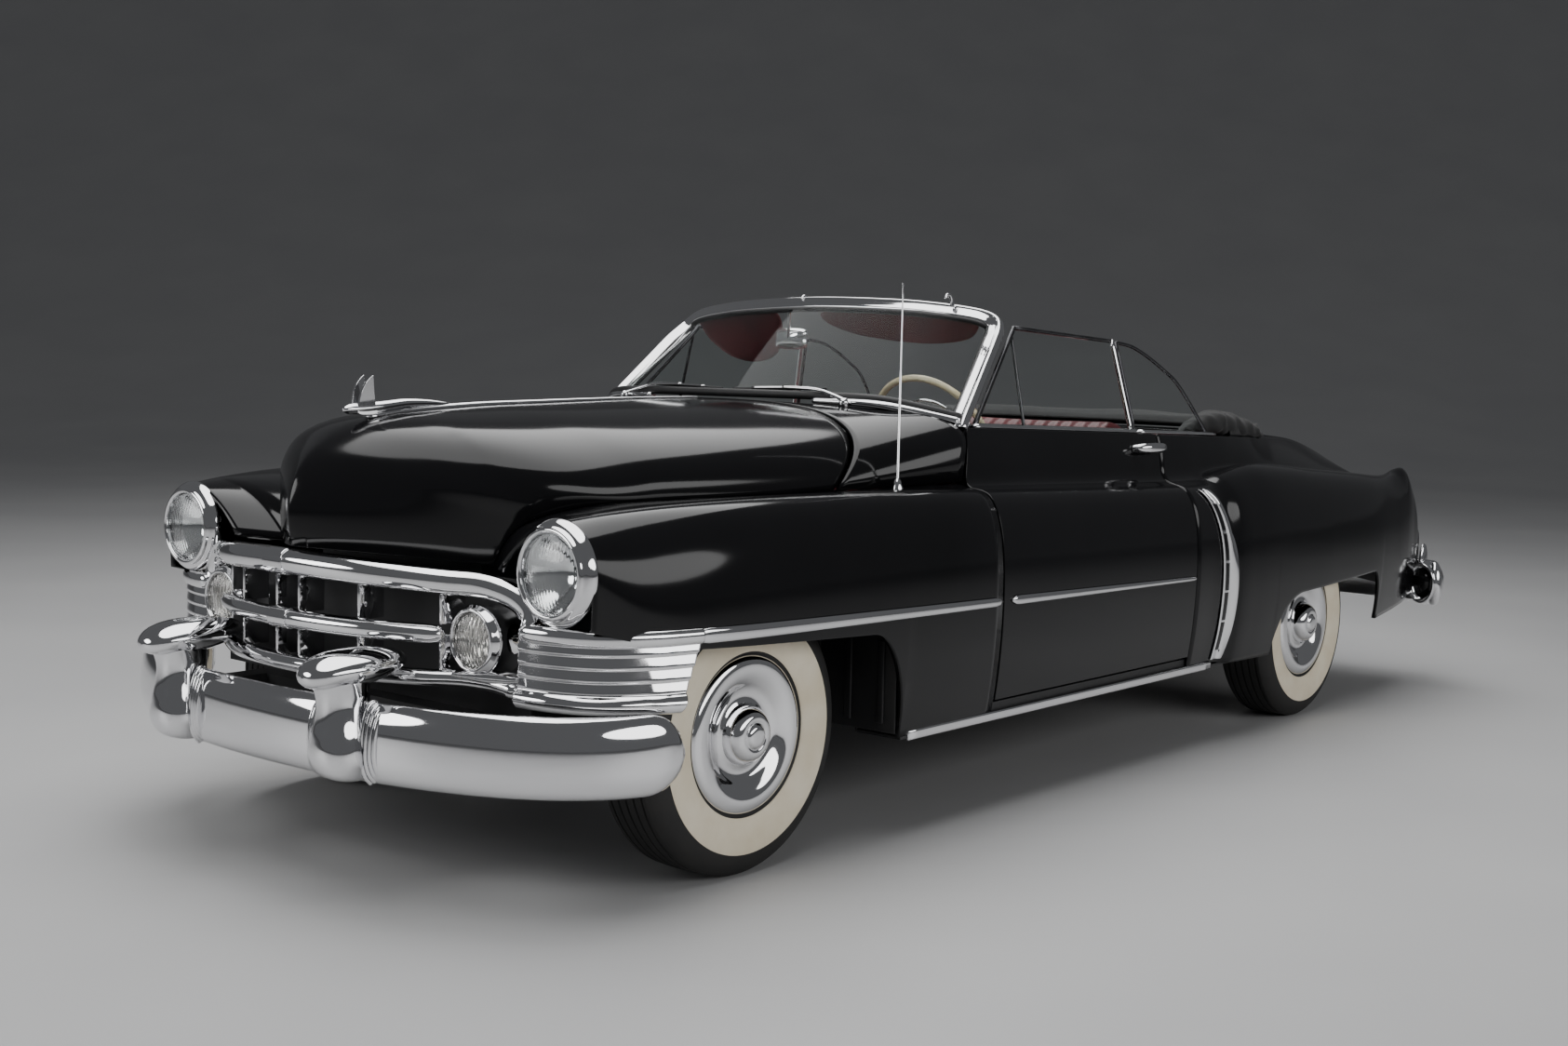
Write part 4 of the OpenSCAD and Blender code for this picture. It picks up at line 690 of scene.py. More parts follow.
def turned(profile, centre, axis, turns=72):
    """A round piece: (radius, along) points in millimetres spun about an axis through centre."""
    mesh = bmesh.new()
    line = [mesh.verts.new((r * MM, 0, h * MM)) for r, h in profile]
    edges = [mesh.edges.new(ends) for ends in zip(line, line[1:])]
    bmesh.ops.spin(mesh, geom=line + edges, cent=(0, 0, 0), axis=(0, 0, 1), angle=2 * math.pi, steps=turns,
        use_merge=True, use_duplicate=False)
    bmesh.ops.remove_doubles(mesh, verts=mesh.verts, dist=0.000002)
    bmesh.ops.recalc_face_normals(mesh, faces=mesh.faces)
    way = Vector((0, 0, 1)).rotation_difference(Vector(axis)).to_matrix()
    bmesh.ops.rotate(mesh, verts=mesh.verts, cent=(0, 0, 0), matrix=way)
    bmesh.ops.translate(mesh, verts=mesh.verts, vec=Vector(centre) * MM)
    return mesh


def dome(top, drop, radius, power, radii):
    """A lens or bowl's profile: it falls from its top by drop at the radius."""
    return [(r, top - drop * (r / radius) ** power) for r in radii]


def fluted(mesh, centre, pitch, depth, on_face):
    """Presses upright flutes into the points of a lens that on_face picks."""
    for point in mesh.verts:
        if on_face(point.co):
            point.co.x += depth * math.cos((point.co.y - centre[1] * MM) * 2 * math.pi / pitch)
    return mesh


def headlamp_face(spot):
    radius = math.hypot(spot.y - HEADLAMP[1] * MM, spot.z - HEADLAMP[2] * MM)
    return spot.x > 2.3675 - 0.022 * (radius / 0.094) ** 2.2


lamp_glass = "lamp_glass", noisy(
    "lamp_glass", (0.97, 0.98, 0.98), (0.93, 0.95, 0.95), 9, (0.01, 0.05), Transmission_Weight=1.0, IOR=1.45)
mirror_bowl = "chrome", noisy(
    "silvered_bowl", (0.90, 0.90, 0.90), (0.82, 0.82, 0.83), 12, (0.05, 0.12), metallic=1.0)
rim_form = curve([
    (95, 12), (95, 26), (100, 31), (107, 29), (112, 22), (120, 15), (127, 2), (126, -9), (118, -10), (96, 2)],
    56, True)
pair("headlamp_rim", turned(rim_form + rim_form[:1], HEADLAMP, FORWARD, 96), chrome, ["lamp_bezels"])
lens_form = dome(40, 22, 94, 2.2, [0, *range(6, 95, 4)]) + [(94, 17), (94, 12)] \
    + dome(36, 23, 94, 2.2, [*range(90, 5, -6), 0])
headlamp_lens = fluted(turned(lens_form, HEADLAMP, FORWARD, 128), HEADLAMP, 0.0105, 0.0007, headlamp_face)
pair("headlamp_lens", headlamp_lens, lamp_glass, ["lamp_lenses"])
bowl_form = dome(-58, -66, 93, 2, [0, *range(8, 94, 5)]) + [(95, 9), (95, 5)] \
    + dome(-62, -66, 95, 2, [*range(92, 5, -7), 0])
pair("headlamp_bowl", turned(bowl_form, HEADLAMP, FORWARD, 64), mirror_bowl)

# The fog lamps: smaller ribbed lenses in stepped plated rims, standing out of the ends of the
# grille on a plated fairing.
FOGLAMP = (2294.4, 521, 632)
fog_pod_form = [
    (0, -30), (96, -30), (95, -22), (88, -8), (82, 10), (79, 34), (79, 58), (84, 66), (86, 76), (84, 86),
    (79, 90), (78, 95), (74, 99), (70, 100), (67, 96), (66, 86), (62, 72), (52, 60), (36, 52), (18, 48),
    (0, 47)]
pair("foglamp_pod", turned(fog_pod_form, FOGLAMP, FORWARD, 80), chrome)
fairing_path = curve([
    (2392, 470, 548), (2372, 520, 546), (2352, 570, 546), (2336, 616, 546), (2326, 650, 548)], 32)
fairing = swept(fairing_path, lambda t: oval(26, 17 * math.sin(math.pi * mix(0.12, 0.88, t)), 24))
pair("foglamp_fairing", fairing, chrome, sharp=50)
fog_glass = "lamp_glass", noisy(
    "ribbed_lamp_glass", (0.97, 0.96, 0.93), (0.93, 0.92, 0.88), 14, (0.02, 0.06),
    Transmission_Weight=0.95, IOR=1.45)
fog_form = dome(104, 14, 65, 2, [0, *range(3, 65, 2)]) + [(65, 89), (65, 86)] \
    + dome(99, 14, 65, 2, [*range(62, 2, -4), 0])
fog_lens = turned(fog_form, FOGLAMP, FORWARD, 144)
pair("foglamp_lens", fluted(fog_lens, FOGLAMP, 0.0125, 0.0016, lambda spot: spot.x > 2.3815), fog_glass)

# The tail lamps: red moulded lenses held by plated rings, screwed to the tail panel below
# the fins.
TAIL_LAMP, BACKWARD = (-2639.3, 812, 610), (-1, 0, 0)
red_lens = "red_lens", noisy(
    "red_lens", (0.42, 0.008, 0.01), (0.30, 0.004, 0.006), 30, (0.05, 0.12),
    bump=0.2, bump_scale=180, Transmission_Weight=0.35, IOR=1.49, Coat_Weight=0.6)
tail_form = dome(30, 14, 34, 2.4, [0, *range(4, 35, 3)]) + [(34, 10), (34, 0), (0, 0)]
pair("tail_lamp_lens", turned(tail_form, TAIL_LAMP, BACKWARD, 64), red_lens, ["tail_lamps"])
ring_form = [(34.4, 0), (34.4, 13), (37, 17), (41, 15), (44, 8), (45, 0), (34.4, 0)]
pair("tail_lamp_ring", turned(ring_form, TAIL_LAMP, BACKWARD, 64), chrome)

# The side strips: half-round plated mouldings clipped along the fenders and doors, broad at the
# front where they grow out of the louvred wings.
def skin_y(table, x, z):
    """How far out the body side stands at a station and height."""
    row = row_at(table, x)
    if z < row[2]:
        return low_y(row, z)
    s = min(1, max(0, (z - row[2]) / (row[4] - row[2]))) ** (row[9] / 2)
    return row[3] + (row[1] - row[3]) * math.sqrt(max(0, 1 - s * s)) ** (2 / row[9])


def strip_z(x):
    return 629 + 0.0165 * (x - 240)


def half_round(tall, deep, count=20):
    """A moulding's section: a flat back and a bulged face."""
    turns = steps(0, math.pi, count)
    face = [(deep * max(0, math.sin(turn)) ** 0.7, -tall * math.cos(turn)) for turn in turns]
    return [(-2.5, tall * 0.96), (-2.5, -tall * 0.96)] + face


def strip(table, x0, x1, tall0, tall1, deep):
    def section(t):
        size = drawn_in(t, 30, 0.05)
        return half_round(mix(tall0, tall1, t) * size, deep * size)
    return swept([(x, skin_y(table, x, strip_z(x)) + 3.2, strip_z(x)) for x in steps(x0, x1, 60)], section)


fender_strip, door_strip = strip(FENDER, 796, 2075, 13, 19, 9), strip(QUARTER, -396, 745, 7, 14, 7.5)
pair("fender_strip", fender_strip, chrome, ["fender_trim_left", "fender_trim_right"])
pair("door_strip", door_strip, chrome, ["door_trim_left", "door_trim_right"], DOORS)

# The louvred wings: plated pressings between the front wheels and the grille, ribbed lengthwise,
# with a thick round rail along the top and a rolled foot on the bumper.
WING_TOP, WING_FOOT, FOOT_START = 650, 483, 0.72
wing_plan = [(x, low_y(row_at(FENDER, x), 661) - 2, 0) for x in (2049, 2105, 2160)] + [
    (2222, 898, 0), (2275, 858, 0), (2312, 806, 0), (2336, 744, 0), (2347, 690, 0), (2350, 645, 0)]
wing_path = curve(wing_plan, 72)
wing_section = [(2, WING_TOP)]
for v in steps(0, 1, 60)[1:]:
    lap = (v / FOOT_START * 4) % 1
    rib = 1.0 + 4.5 * min(lap * 1.25, 1)
    foot = 2 + 19 * max(0, math.sin(math.pi * min(1, (v - FOOT_START) / (1 - FOOT_START)))) ** 0.6
    wing_section.append((rib if v < FOOT_START else foot, mix(WING_TOP, WING_FOOT, v)))
wing = swept(wing_path, wing_section + [(-5, WING_FOOT), (-5, WING_TOP)])
# Its rear edge leans forward along the tyre.
for point in wing.verts:
    point.co.x += 0.075 * min(1, max(0, (2.2 - point.co.x) / 0.15)) * (0.65 - point.co.z) / 0.167
pair("louvred_wing", wing, chrome)


def rail_section(t):
    size = drawn_in(max(t, 0.5), 10, 0.04)
    return oval(15 * size, mix(20, 23, t) * size, 24)


rail = swept([(p[0], p[1], z) for p, z in zip(wing_path, steps(659, 662, 72))], rail_section)
pair("wing_rail", rail, chrome)

# The sill mouldings: plain plated channels, rolled from strip and clipped along the lower edges
# of the body.
sill_form = curve([(0, -13), (-7, -9), (-8.5, 0), (-7, 9), (0, 13), (1.5, 0)], 20, True)
pair("sill_moulding", swept([(x, 940, SILL_Z - 1) for x in steps(-575, 1200, 40)], sill_form), chrome)

# The stone guards: plated castings on the leading edges of the rear fenders, with a row of
# upright slots that look like air scoops.
# Columns: height, station x of the guard's middle line
GUARD = [[310, -604], [436, -624], [600, -628], [733, -612], [866, -562], [925, -515]]


def on_guard(u, v, rise):
    z = mix(318, 912, v)
    x = row_at(GUARD, z)[1] + mix(36, -36, u)
    return x, skin_y(QUARTER, x, z) + rise, z


def guard_place(u, v):
    """A thin line ahead, a sunk band for the slots, and a broad round band behind."""
    if u < 0.12:
        rise = 6 * math.sqrt(u / 0.12)
    elif u < 0.54 and 0.05 < v < 0.94:
        rise = 1.2
    else:
        rise = 10 * math.sqrt(max(0, math.sin(math.pi * min(1, (u - 0.5) / 0.5))))
    return on_guard(u, v, 3.5 + rise)


def slot_sheet(start):
    """One slot: a shallow black sheet between the guard's cross bars, its dark colour painted shade."""
    def place(u, v):
        return on_guard(mix(0.13, 0.53, u), start + 0.163 * v, 5.6)
    return flanged(pressed(4, 24, place), 2)


guard = flanged(pressed(32, 150, guard_place), 5)
slots = joined(*[slot_sheet(0.055 + 0.176 * k) for k in range(5)])
for sheet in (guard, slots):
    bmesh.ops.recalc_face_normals(sheet, faces=sheet.faces)
pair("stone_guard", guard, chrome, ["quarter_trim_left", "quarter_trim_right"], wall=0.0015)
# Black sheets in the slots: painted shade for the slots' dark insides.
pair("stone_guard_slots_painted_shade", slots, gloss_black, wall=0.001)

# The door handles: cast plated pulls with a push button, bolted through the door skins below
# the belt.
handle_path = curve([
    (-222, 802, 1052), (-230, 828, 1054), (-256, 844, 1055), (-300, 849, 1055), (-346, 846, 1054),
    (-378, 832, 1052), (-386, 802, 1049)], 40)
handle = swept(handle_path, lambda t: oval(9 + 3 * math.sin(math.pi * t), 12 + 5 * math.sin(math.pi * t), 20))
pair("door_handle", handle, chrome, bodies=DOORS)
button = turned([(0, 0), (11, 0), (11, 26), (9, 29), (0, 30)], (-240, 800, 1052), (0, 1, 0.15), 32)
pair("handle_button", button, chrome, bodies=DOORS)

# The windshield: one bowed sheet of glass in a rubber seal and a plated frame, which leans back
# over the cowl and carries the folding top's latch hooks.
def on_cowl(y):
    a = math.degrees(math.asin((y / COWL_REAR[4]) ** 2.5))
    return Vector(cowl_point(0.94, a)) + Vector((0, 0, 13))


def both_ways(row):
    return [Vector((p.x, -p.y, p.z)) for p in reversed(row[1:])] + row


SCREEN_FOOT = Vector((712, 738, 1146))
SCREEN_HEAD = Vector((386, 654, 1456))
SCREEN_STEPS = 64
top_row = [Vector(p) for p in ((480, 0, 1506), (476, 170, 1503), (462, 340, 1496))]
screen_base = curve(both_ways([on_cowl(y) for y in (0, 200, 400, 580)] + [SCREEN_FOOT]), SCREEN_STEPS)
screen_top = curve(both_ways(top_row + [Vector((434, 500, 1482)), SCREEN_HEAD]), SCREEN_STEPS)
frame_corner = [(446, 440, 1488), (430, 530, 1478), (409, 602, 1465), (400, 640, 1446), (420, 658, 1420)]
pillar = [SCREEN_HEAD.lerp(SCREEN_FOOT, t) for t in (0.25, 0.5, 0.75, 1.0)]
half_frame = top_row + [Vector(p) for p in frame_corner] + pillar + [SCREEN_FOOT + Vector((14, 4, -22))]
frame_path = curve(both_ways(half_frame), 200)[::-1]
frame_form = curve(
    [(-27, -12), (-29, 4), (-22, 15), (-12, 13), (4, 11), (17, 9), (20, 0), (17, -10), (0, -15)], 36, True)
FRAME_UP = (0.82, 0, 0.57)


def frame_section(t):
    """The frame's section in the plane of the glass: broad on the pillars, slimmer over the top."""
    broad = mix(0.86, 1.12, min(1, max(0, abs(t - 0.5) * 2 - 0.42) / 0.2))
    return [(a * broad, b) for a, b in frame_form]


piece("windshield_frame_bow", swept(frame_path, frame_section, FRAME_UP), chrome, ["windshield_frame"])
base_path = curve([p + Vector((6, 0, -2)) for p in screen_base if p.y > 318], 40)
pair("windshield_base_rail", swept(base_path, lambda t: oval(15, mix(9, 16, t), 24)), chrome)
rubber_seal = "tyre_rubber", noisy(
    "rubber_seal", (0.016, 0.016, 0.017), (0.009, 0.009, 0.010), 30, (0.45, 0.6), bump=0.15, bump_scale=300)
seal = joined(swept(frame_path, [(a + 22, b) for a, b in oval(9, 10, 16)], FRAME_UP),
              swept([p + Vector((-4, 0, 13)) for p in screen_base], oval(12, 13, 16)))
piece("windshield_seal", seal, rubber_seal)
hook_form = [(450, 1498), (454, 1516), (464, 1530), (480, 1532), (488, 1522)]


def latch_hook(y):
    path = curve([(x, y, z) for x, z in hook_form], 24)
    return swept(path, lambda t: oval(mix(9, 4, t), mix(7, 4, t), 14), (0, 1, 0))


piece("top_latch_hooks", joined(latch_hook(-62), latch_hook(520)), chrome)
clear_glass = "clear_glass", noisy(
    "clear_glass", (0.96, 0.985, 0.975), (0.93, 0.97, 0.96), 2.0, (0.0, 0.02),
    Transmission_Weight=1.0, IOR=1.06)


def screen_place(u, v):
    k = round(SCREEN_STEPS * (1 - u))
    spot = screen_base[k].lerp(screen_top[k], mix(0.03, 0.985, v))
    return spot.x, spot.y * 0.985, spot.z


screen = pressed(SCREEN_STEPS, 16, screen_place)
bmesh.ops.solidify(screen, geom=screen.faces[:], thickness=0.005)
bmesh.ops.recalc_face_normals(screen, faces=screen.faces)
piece("windshield_glass", screen, clear_glass, ["fixed_glass"], sharp=40)

# The wipers: plated arms on pivots in the cowl, with rubber blades lying along the foot of
# the glass.
SCREEN_OUT = Vector((0.85, 0, 0.5))


def on_screen(y, t, off):
    k = round(SCREEN_STEPS * (0.5 + y / (2 * SCREEN_FOOT.y)))
    return screen_base[k].lerp(screen_top[k], t) + SCREEN_OUT * off


blade_spots = [(y, mix(0.055, 0.085, (y - 30) / 340), 17) for y in (30, 110, 190, 270, 350)]
blade_line = curve([on_screen(*spot) for spot in blade_spots], 30)
arm_spots = [(430, -0.03, 26), (400, 0.01, 30), (320, 0.055, 32), (200, 0.075, 26)]
arm_line = [on_screen(*spot) for spot in arm_spots]
pair("wiper_blade", swept(blade_line, oval(4, 6, 12), SCREEN_OUT), rubber_seal)
wiper_arm = joined(
    swept(curve(arm_line, 30), lambda t: oval(mix(7, 4, t), mix(5, 3.5, t), 14), SCREEN_OUT),
    swept([p + Vector((4, 0, 4)) for p in blade_line[6:25]], oval(3.5, 4, 12), SCREEN_OUT),
    turned([(0, -34), (15, -34), (15, -6), (12, 4), (0, 7)], arm_line[0], (0.3, 0, 1), 28))
pair("wiper_arm", wiper_arm, chrome)

# The side windows: flat panes in slim plated frames, the door's with a vent pane ahead of it,
# the quarter's with a round rear edge.
PANE_THICK = 5


def glass_at(x, z):
    return Vector((x, 746 - 0.225 * (z - 1109), z))


def round_tube(path, r, up=(0, 1, 0.2)):
    return swept(path, oval(r, r, 16), up)


def straight(a, b, count=12):
    return [a.lerp(b, k / count) for k in range(count + 1)]


def belt_moulding(x0, x1, y, lift, count, form):
    return swept([(x, y, belt(x) + lift) for x in steps(x0, x1, count)], curve(form, 20, True))


door_low_front, door_top_front = glass_at(640, belt(640)), glass_at(330, 1436)
door_top_rear, door_low_rear = glass_at(-272, 1410), glass_at(-302, belt(-302))
# The frames' plating is coloured as dark metal: painted shade, a darkened copy of chrome that stands for the
# shade the frames sit in.
painted_shade_chrome = "chrome", noisy(
    "window_chrome_painted_shade", (0.10, 0.10, 0.105), (0.05, 0.05, 0.055), 12, (0.22, 0.34),
    bump=0.05, bump_scale=200, metallic=0.9)
door_frame = joined(
    round_tube(straight(door_low_front, door_top_front), 8),
    round_tube(straight(door_top_front, door_top_rear), 6),
    round_tube(straight(glass_at(362, belt(362)), glass_at(352, 1418)), 5.5))
pair("door_window_frame", door_frame, painted_shade_chrome, bodies=DOORS)
door_bright = joined(
    round_tube(straight(door_top_rear + Vector((6, 0, 4)), door_low_rear), 8),
    belt_moulding(672, -310, 760, 6, 40, [(16, -5), (-14, -5), (-14, 4), (0, 9), (14, 6)]))
pair("door_belt_moulding", door_bright, chrome, bodies=DOORS)
door_pane = plate([
    door_low_front + Vector((-14, 0, 14)), door_top_front + Vector((-2, 0, -8)),
    door_top_rear + Vector((4, 0, -8)), door_low_rear + Vector((10, 0, 14))], PANE_THICK)
pair("door_window_glass", door_pane, clear_glass, ["door_glass_left", "door_glass_right"], DOORS, sharp=30)
quarter_round = [(-294, 1406), (-400, 1394), (-500, 1362), (-600, 1318), (-680, 1274), (-765, 1190),
                 (-845, belt(-845) + 6)]
quarter_edge = [glass_at(-324, belt(-324) + 6)] + straight(glass_at(-322, 1140), glass_at(-294, 1406), 6) \
    + curve([glass_at(x, z) for x, z in quarter_round], 48)[1:]
pair("quarter_window_frame", round_tube(quarter_edge, 6.5), painted_shade_chrome)
quarter_bright = belt_moulding(-314, -853, 766, 5, 30, [(-16, -4), (16, -4), (16, 3), (0, 8), (-16, 5)])
pair("quarter_belt_moulding", quarter_bright, chrome)
pair("quarter_window_glass", plate(quarter_edge[:-1], PANE_THICK), clear_glass, sharp=30)

# The tyres: moulded rubber on the wheels' rims, with a broad white band on the outer side and
# a ribbed tread.
BEAD_R, TYRE_R, TYRE_HALF = 204.6, 365, 104
WHEELS = {
    "front_left": ("fl", 1755, 750), "front_right": ("fr", 1755, -750),
    "rear_left": ("rl", -1445, 800), "rear_right": ("rr", -1445, -800)}
rubber = "tyre_rubber", noisy(
    "tyre_rubber", (0.020, 0.019, 0.018), (0.011, 0.011, 0.011), 18, (0.55, 0.75), bump=0.25, bump_scale=420)
white_band = "tyre_rubber", noisy(
    "white_side_band", (0.90, 0.82, 0.65), (0.80, 0.70, 0.52), 11, (0.5, 0.65), bump=0.15, bump_scale=150)


def wall_line(shares, count, lift=0.0):
    """A line on the tyre's wall through points given as shares of its height and of its half width."""
    return curve([(mix(BEAD_R, TYRE_R, a), b * TYRE_HALF + lift) for a, b in shares], count)


tyre_wall = wall_line([
    (0, 0.81), (0.11, 0.92), (0.29, 0.985), (0.5, 1), (0.69, 0.97), (0.83, 0.89), (0.92, 0.79), (0.97, 0.70),
    (0.985, 0.66)], 36)
tread = []
for k, w in enumerate(steps(0.66 * TYRE_HALF, -0.66 * TYRE_HALF, 60)):
    groove = 7 if k % 12 in (5, 6) else 0
    tread.append((TYRE_R - 2.4 * (abs(w) / 69) ** 2 - groove, w))
tyre_form = [(189.5, 66), (203, 71)] + tyre_wall + tread + [(r, -w) for r, w in reversed(tyre_wall)] \
    + [(203, -71), (189.5, -66), (189.5, 66)]
band_face = wall_line([(0.05, 0.875), (0.11, 0.925), (0.29, 0.988), (0.5, 1), (0.62, 0.985)], 24, 1.2)
band_inner, band_outer = band_face[0] - Vector((0, 4)), band_face[-1] - Vector((0, 4))
band_form = [band_inner] + band_face + [band_outer, band_inner]
for place, (short, x, y) in WHEELS.items():
    centre, out, body = (x, y, TYRE_R), (0, math.copysign(1, y), 0), "wheel_" + place
    piece("tyre_" + place, turned(tyre_form, centre, out, 128), rubber, ["tyre_" + short], body, sharp=40)
    piece("white_band_" + place, turned(band_form, centre, out, 128), white_band, (), body, sharp=40)

# The wheels: black pressed steel rims behind full plated covers with a stepped dish, a plain
# domed hub and a hole for the valve.
satin_black = "chassis_black", noisy(
    "satin_black", (0.022, 0.022, 0.023), (0.014, 0.014, 0.015), 6, (0.38, 0.55), bump=0.1, bump_scale=160)
hub_line = curve([
    (0, 130), (16, 129.5), (26, 127), (32, 122), (35, 120), (42, 122), (52, 121), (62, 115), (71, 103),
    (76, 90), (79, 80)], 44)
dish_line = curve([
    (80, 76), (92, 72), (104, 72), (118, 76), (134, 86), (150, 94), (166, 98.5), (182, 99), (196, 95),
    (204, 88), (206, 83)], 60)
cover_form = hub_line + dish_line + [(204, 80), (196, 84), (160, 92), (130, 80), (100, 68), (60, 80), (0, 96)]
rim_profile = [
    (60, 30), (150, 30), (172, 24), (181, -70), (195, -76), (195, -82), (204, -82), (204, -74), (189, -66),
    (189, 66), (202, 74), (200, 78), (180, 70), (160, 40), (60, 40), (60, 30)]
valve_form = [(0, 0), (8, 0), (8, 1.6), (6.5, 2.2), (6, 0.9), (0, 0.9)]
for place, (short, x, y) in WHEELS.items():
    centre, side, body = Vector((x, y, TYRE_R)), math.copysign(1, y), "wheel_" + place
    out = (0, side, 0)
    cover = turned(cover_form, centre, out, 128)
    piece("wheel_cover_" + place, cover, chrome, ["wheel_" + short], body, sharp=45)
    piece("wheel_rim_" + place, turned(rim_profile, centre, out, 64), satin_black, (), body, sharp=40)
    valve = turned(valve_form, centre + Vector((118, side * 77, 30)), (-0.1, side, 0), 24)
    piece("valve_hole_" + place, valve, satin_black, (), body)

# The splash shields: ribbed steel panels, bolted upright into the fenders to close them behind
# the front wheels.
shield = boxes([((1236, 590, 306), (1242, 925, 596))]
               + [((1242, y, 330), (1250, y + 24, 560)) for y in (640, 752, 864)])
pair("splash_shield", shield, satin_black, edge=0.003)

# The hood ornament: a plated casting like a winged bullet, bolted through the hood, with a long
# spear let in along the hood's middle.
hood_line = [row_at(HOOD, k / 20)[1:3] for k in range(30, 181)]


def hood_top(x):
    """Height of the hood's middle line."""
    for (x0, z0), (x1, z1) in zip(hood_line, hood_line[1:]):
        if x1 <= x <= x0:
            return z0 + (x - x0) * (z1 - z0) / (x1 - x0)


def spear_section(t):
    """A low ridge, narrowing to the rear."""
    half, tall = mix(16, 4, t ** 0.6), mix(11, 4, t)
    ridge = [(half * math.cos(turn), tall * math.sin(turn)) for turn in steps(0, math.pi, 16)]
    return ridge + [(-half, -1.5), (half, -1.5)]


spear = swept([(x, 0, hood_top(x) + 1.2) for x in steps(2300, 1060, 60)], spear_section)
piece("hood_spear", spear, chrome, ["hood_ornament"], "hood")
# Columns: station x, height, half width, half height
ORNAMENT = [
    (2020, 1175, 1, 1.5), (2060, 1177, 8, 6), (2110, 1179, 12, 9), (2180, 1178, 16, 12), (2250, 1170, 19, 14),
    (2310, 1164, 19, 15), (2350, 1162, 16, 14), (2368, 1161, 9, 8), (2374, 1161, 2, 2)]
bullet = [[(x, a, z + b) for a, b in oval(half, tall, 32)] for x, z, half, tall in curve(ORNAMENT, 60)]
piece("hood_bullet", rings_mesh(bullet), chrome, (), "hood")
fin_outline = curve([
    (2338, 1152), (2337, 1178), (2331, 1205), (2318, 1230), (2300, 1247), (2296, 1244), (2291, 1205),
    (2284, 1170), (2279, 1152), (2308, 1148)], 40, True)
fins = [plate([(x, side * (16 + (z - 1150) * 0.07), z) for x, z in fin_outline], 7, (0, -side, 0))
        for side in (-1, 1)]
piece("hood_fins", joined(*fins), chrome, (), "hood", edge=0.002, sharp=40)

# The antenna: a slim plated mast of two drawn tubes on a turned foot, bolted to the left fender
# ahead of the door.
mast_form = [
    (0, 0), (17, 0), (17, 3), (12, 14), (10, 24), (4.5, 30), (3.6, 32), (3.2, 330), (2.4, 332), (2.2, 568),
    (3.2, 569), (3.2, 575), (0, 576)]
piece("antenna_mast", turned(mast_form, (1068, 782, 960), (0, 0, 1), 32), chrome, ["antenna"], sharp=40)

# The seats: sprung benches in pleated maroon hide on trimmed bases; the cushions are stuffed and
# swell a little between their seams.
def hide(name, pale, dark, pleat=0.0):
    """Maroon hide: fine grain, worn shades, and pleats that run in X and lie pleat metres apart in Y."""
    material = noisy(name, pale, dark, 7, (0.32, 0.48), bump=0.22, bump_scale=520)
    nodes, links = material.node_tree.nodes, material.node_tree.links
    if pleat:
        waves = nodes.new("ShaderNodeTexWave")
        waves.bands_direction = "Y"
        waves.inputs["Scale"].default_value = 1 / (pleat * 3.1831)
        ridge = nodes.new("ShaderNodeBump")
        ridge.inputs["Strength"].default_value = 0.55
        ridge.inputs["Distance"].default_value = 0.012
        links.new(nodes["Texture Coordinate"].outputs["Object"], waves.inputs["Vector"])
        links.new(waves.outputs["Fac"], ridge.inputs["Height"])
        links.new(nodes["Bump"].outputs["Normal"], ridge.inputs["Normal"])
        links.new(ridge.outputs["Normal"], nodes["Principled BSDF"].inputs["Normal"])
    return "maroon_leather", material


maroon_pleated = hide("maroon_pleated_hide", (0.115, 0.016, 0.020), (0.065, 0.009, 0.012), 0.055)
maroon_plain = hide("maroon_plain_hide", (0.105, 0.015, 0.018), (0.060, 0.008, 0.011))
STUFFING_FRAMES, MOST_SWELL = 20, 0.012


def stuffed(made):
    """Swells a pad by a cloth run under pressure, held to the most that it may swell."""
    scene = bpy.context.scene
    cloth = made.modifiers.new("stuffing", "CLOTH")
    cloth.settings.use_pressure = True
    cloth.settings.uniform_pressure_force = 4
    cloth.settings.effector_weights.gravity = 0
    cloth.settings.tension_stiffness = cloth.settings.compression_stiffness = 40
    cloth.point_cache.frame_start, cloth.point_cache.frame_end = 1, STUFFING_FRAMES
    for frame_number in range(1, STUFFING_FRAMES + 1):
        scene.frame_set(frame_number)
    puffed = made.evaluated_get(bpy.context.evaluated_depsgraph_get())
    moved = [v.co.copy() for v in puffed.data.vertices]
    made.modifiers.clear()
    scene.frame_set(1)
    for point, target in zip(made.data.vertices, moved):
        swell = target - point.co
        point.co += swell * min(1, MOST_SWELL / max(swell.length, 1e-6))


def cushion(name, low, high, lean=0, foot=(0, 0, 0), stands_for=()):
    """A stuffed bench pad between two corners in millimetres, leaning back by lean degrees about foot."""
    made = piece(name, boxes([(low, high)], 0.042, 4), maroon_pleated, stands_for)
    fine = made.modifiers.new("fine", "REMESH")
    fine.mode, fine.voxel_size = "VOXEL", 0.022
    bpy.context.view_layer.update()
    rest = bpy.data.meshes.new_from_object(made.evaluated_get(bpy.context.evaluated_depsgraph_get()))
    made.modifiers.clear()
    made.data = rest
    stuffed(made)
    about = Matrix.Translation(Vector(foot) * MM)
    made.data.transform(about @ Matrix.Rotation(math.radians(-lean), 4, "Y") @ about.inverted())
    made.data.materials.clear()
    made.data.materials.append(maroon_pleated[1])
    made.data.polygons.foreach_set("use_smooth", [True] * len(made.data.polygons))
    smooth = made.modifiers.new("round", "SUBSURF")
    smooth.levels = smooth.render_levels = 1


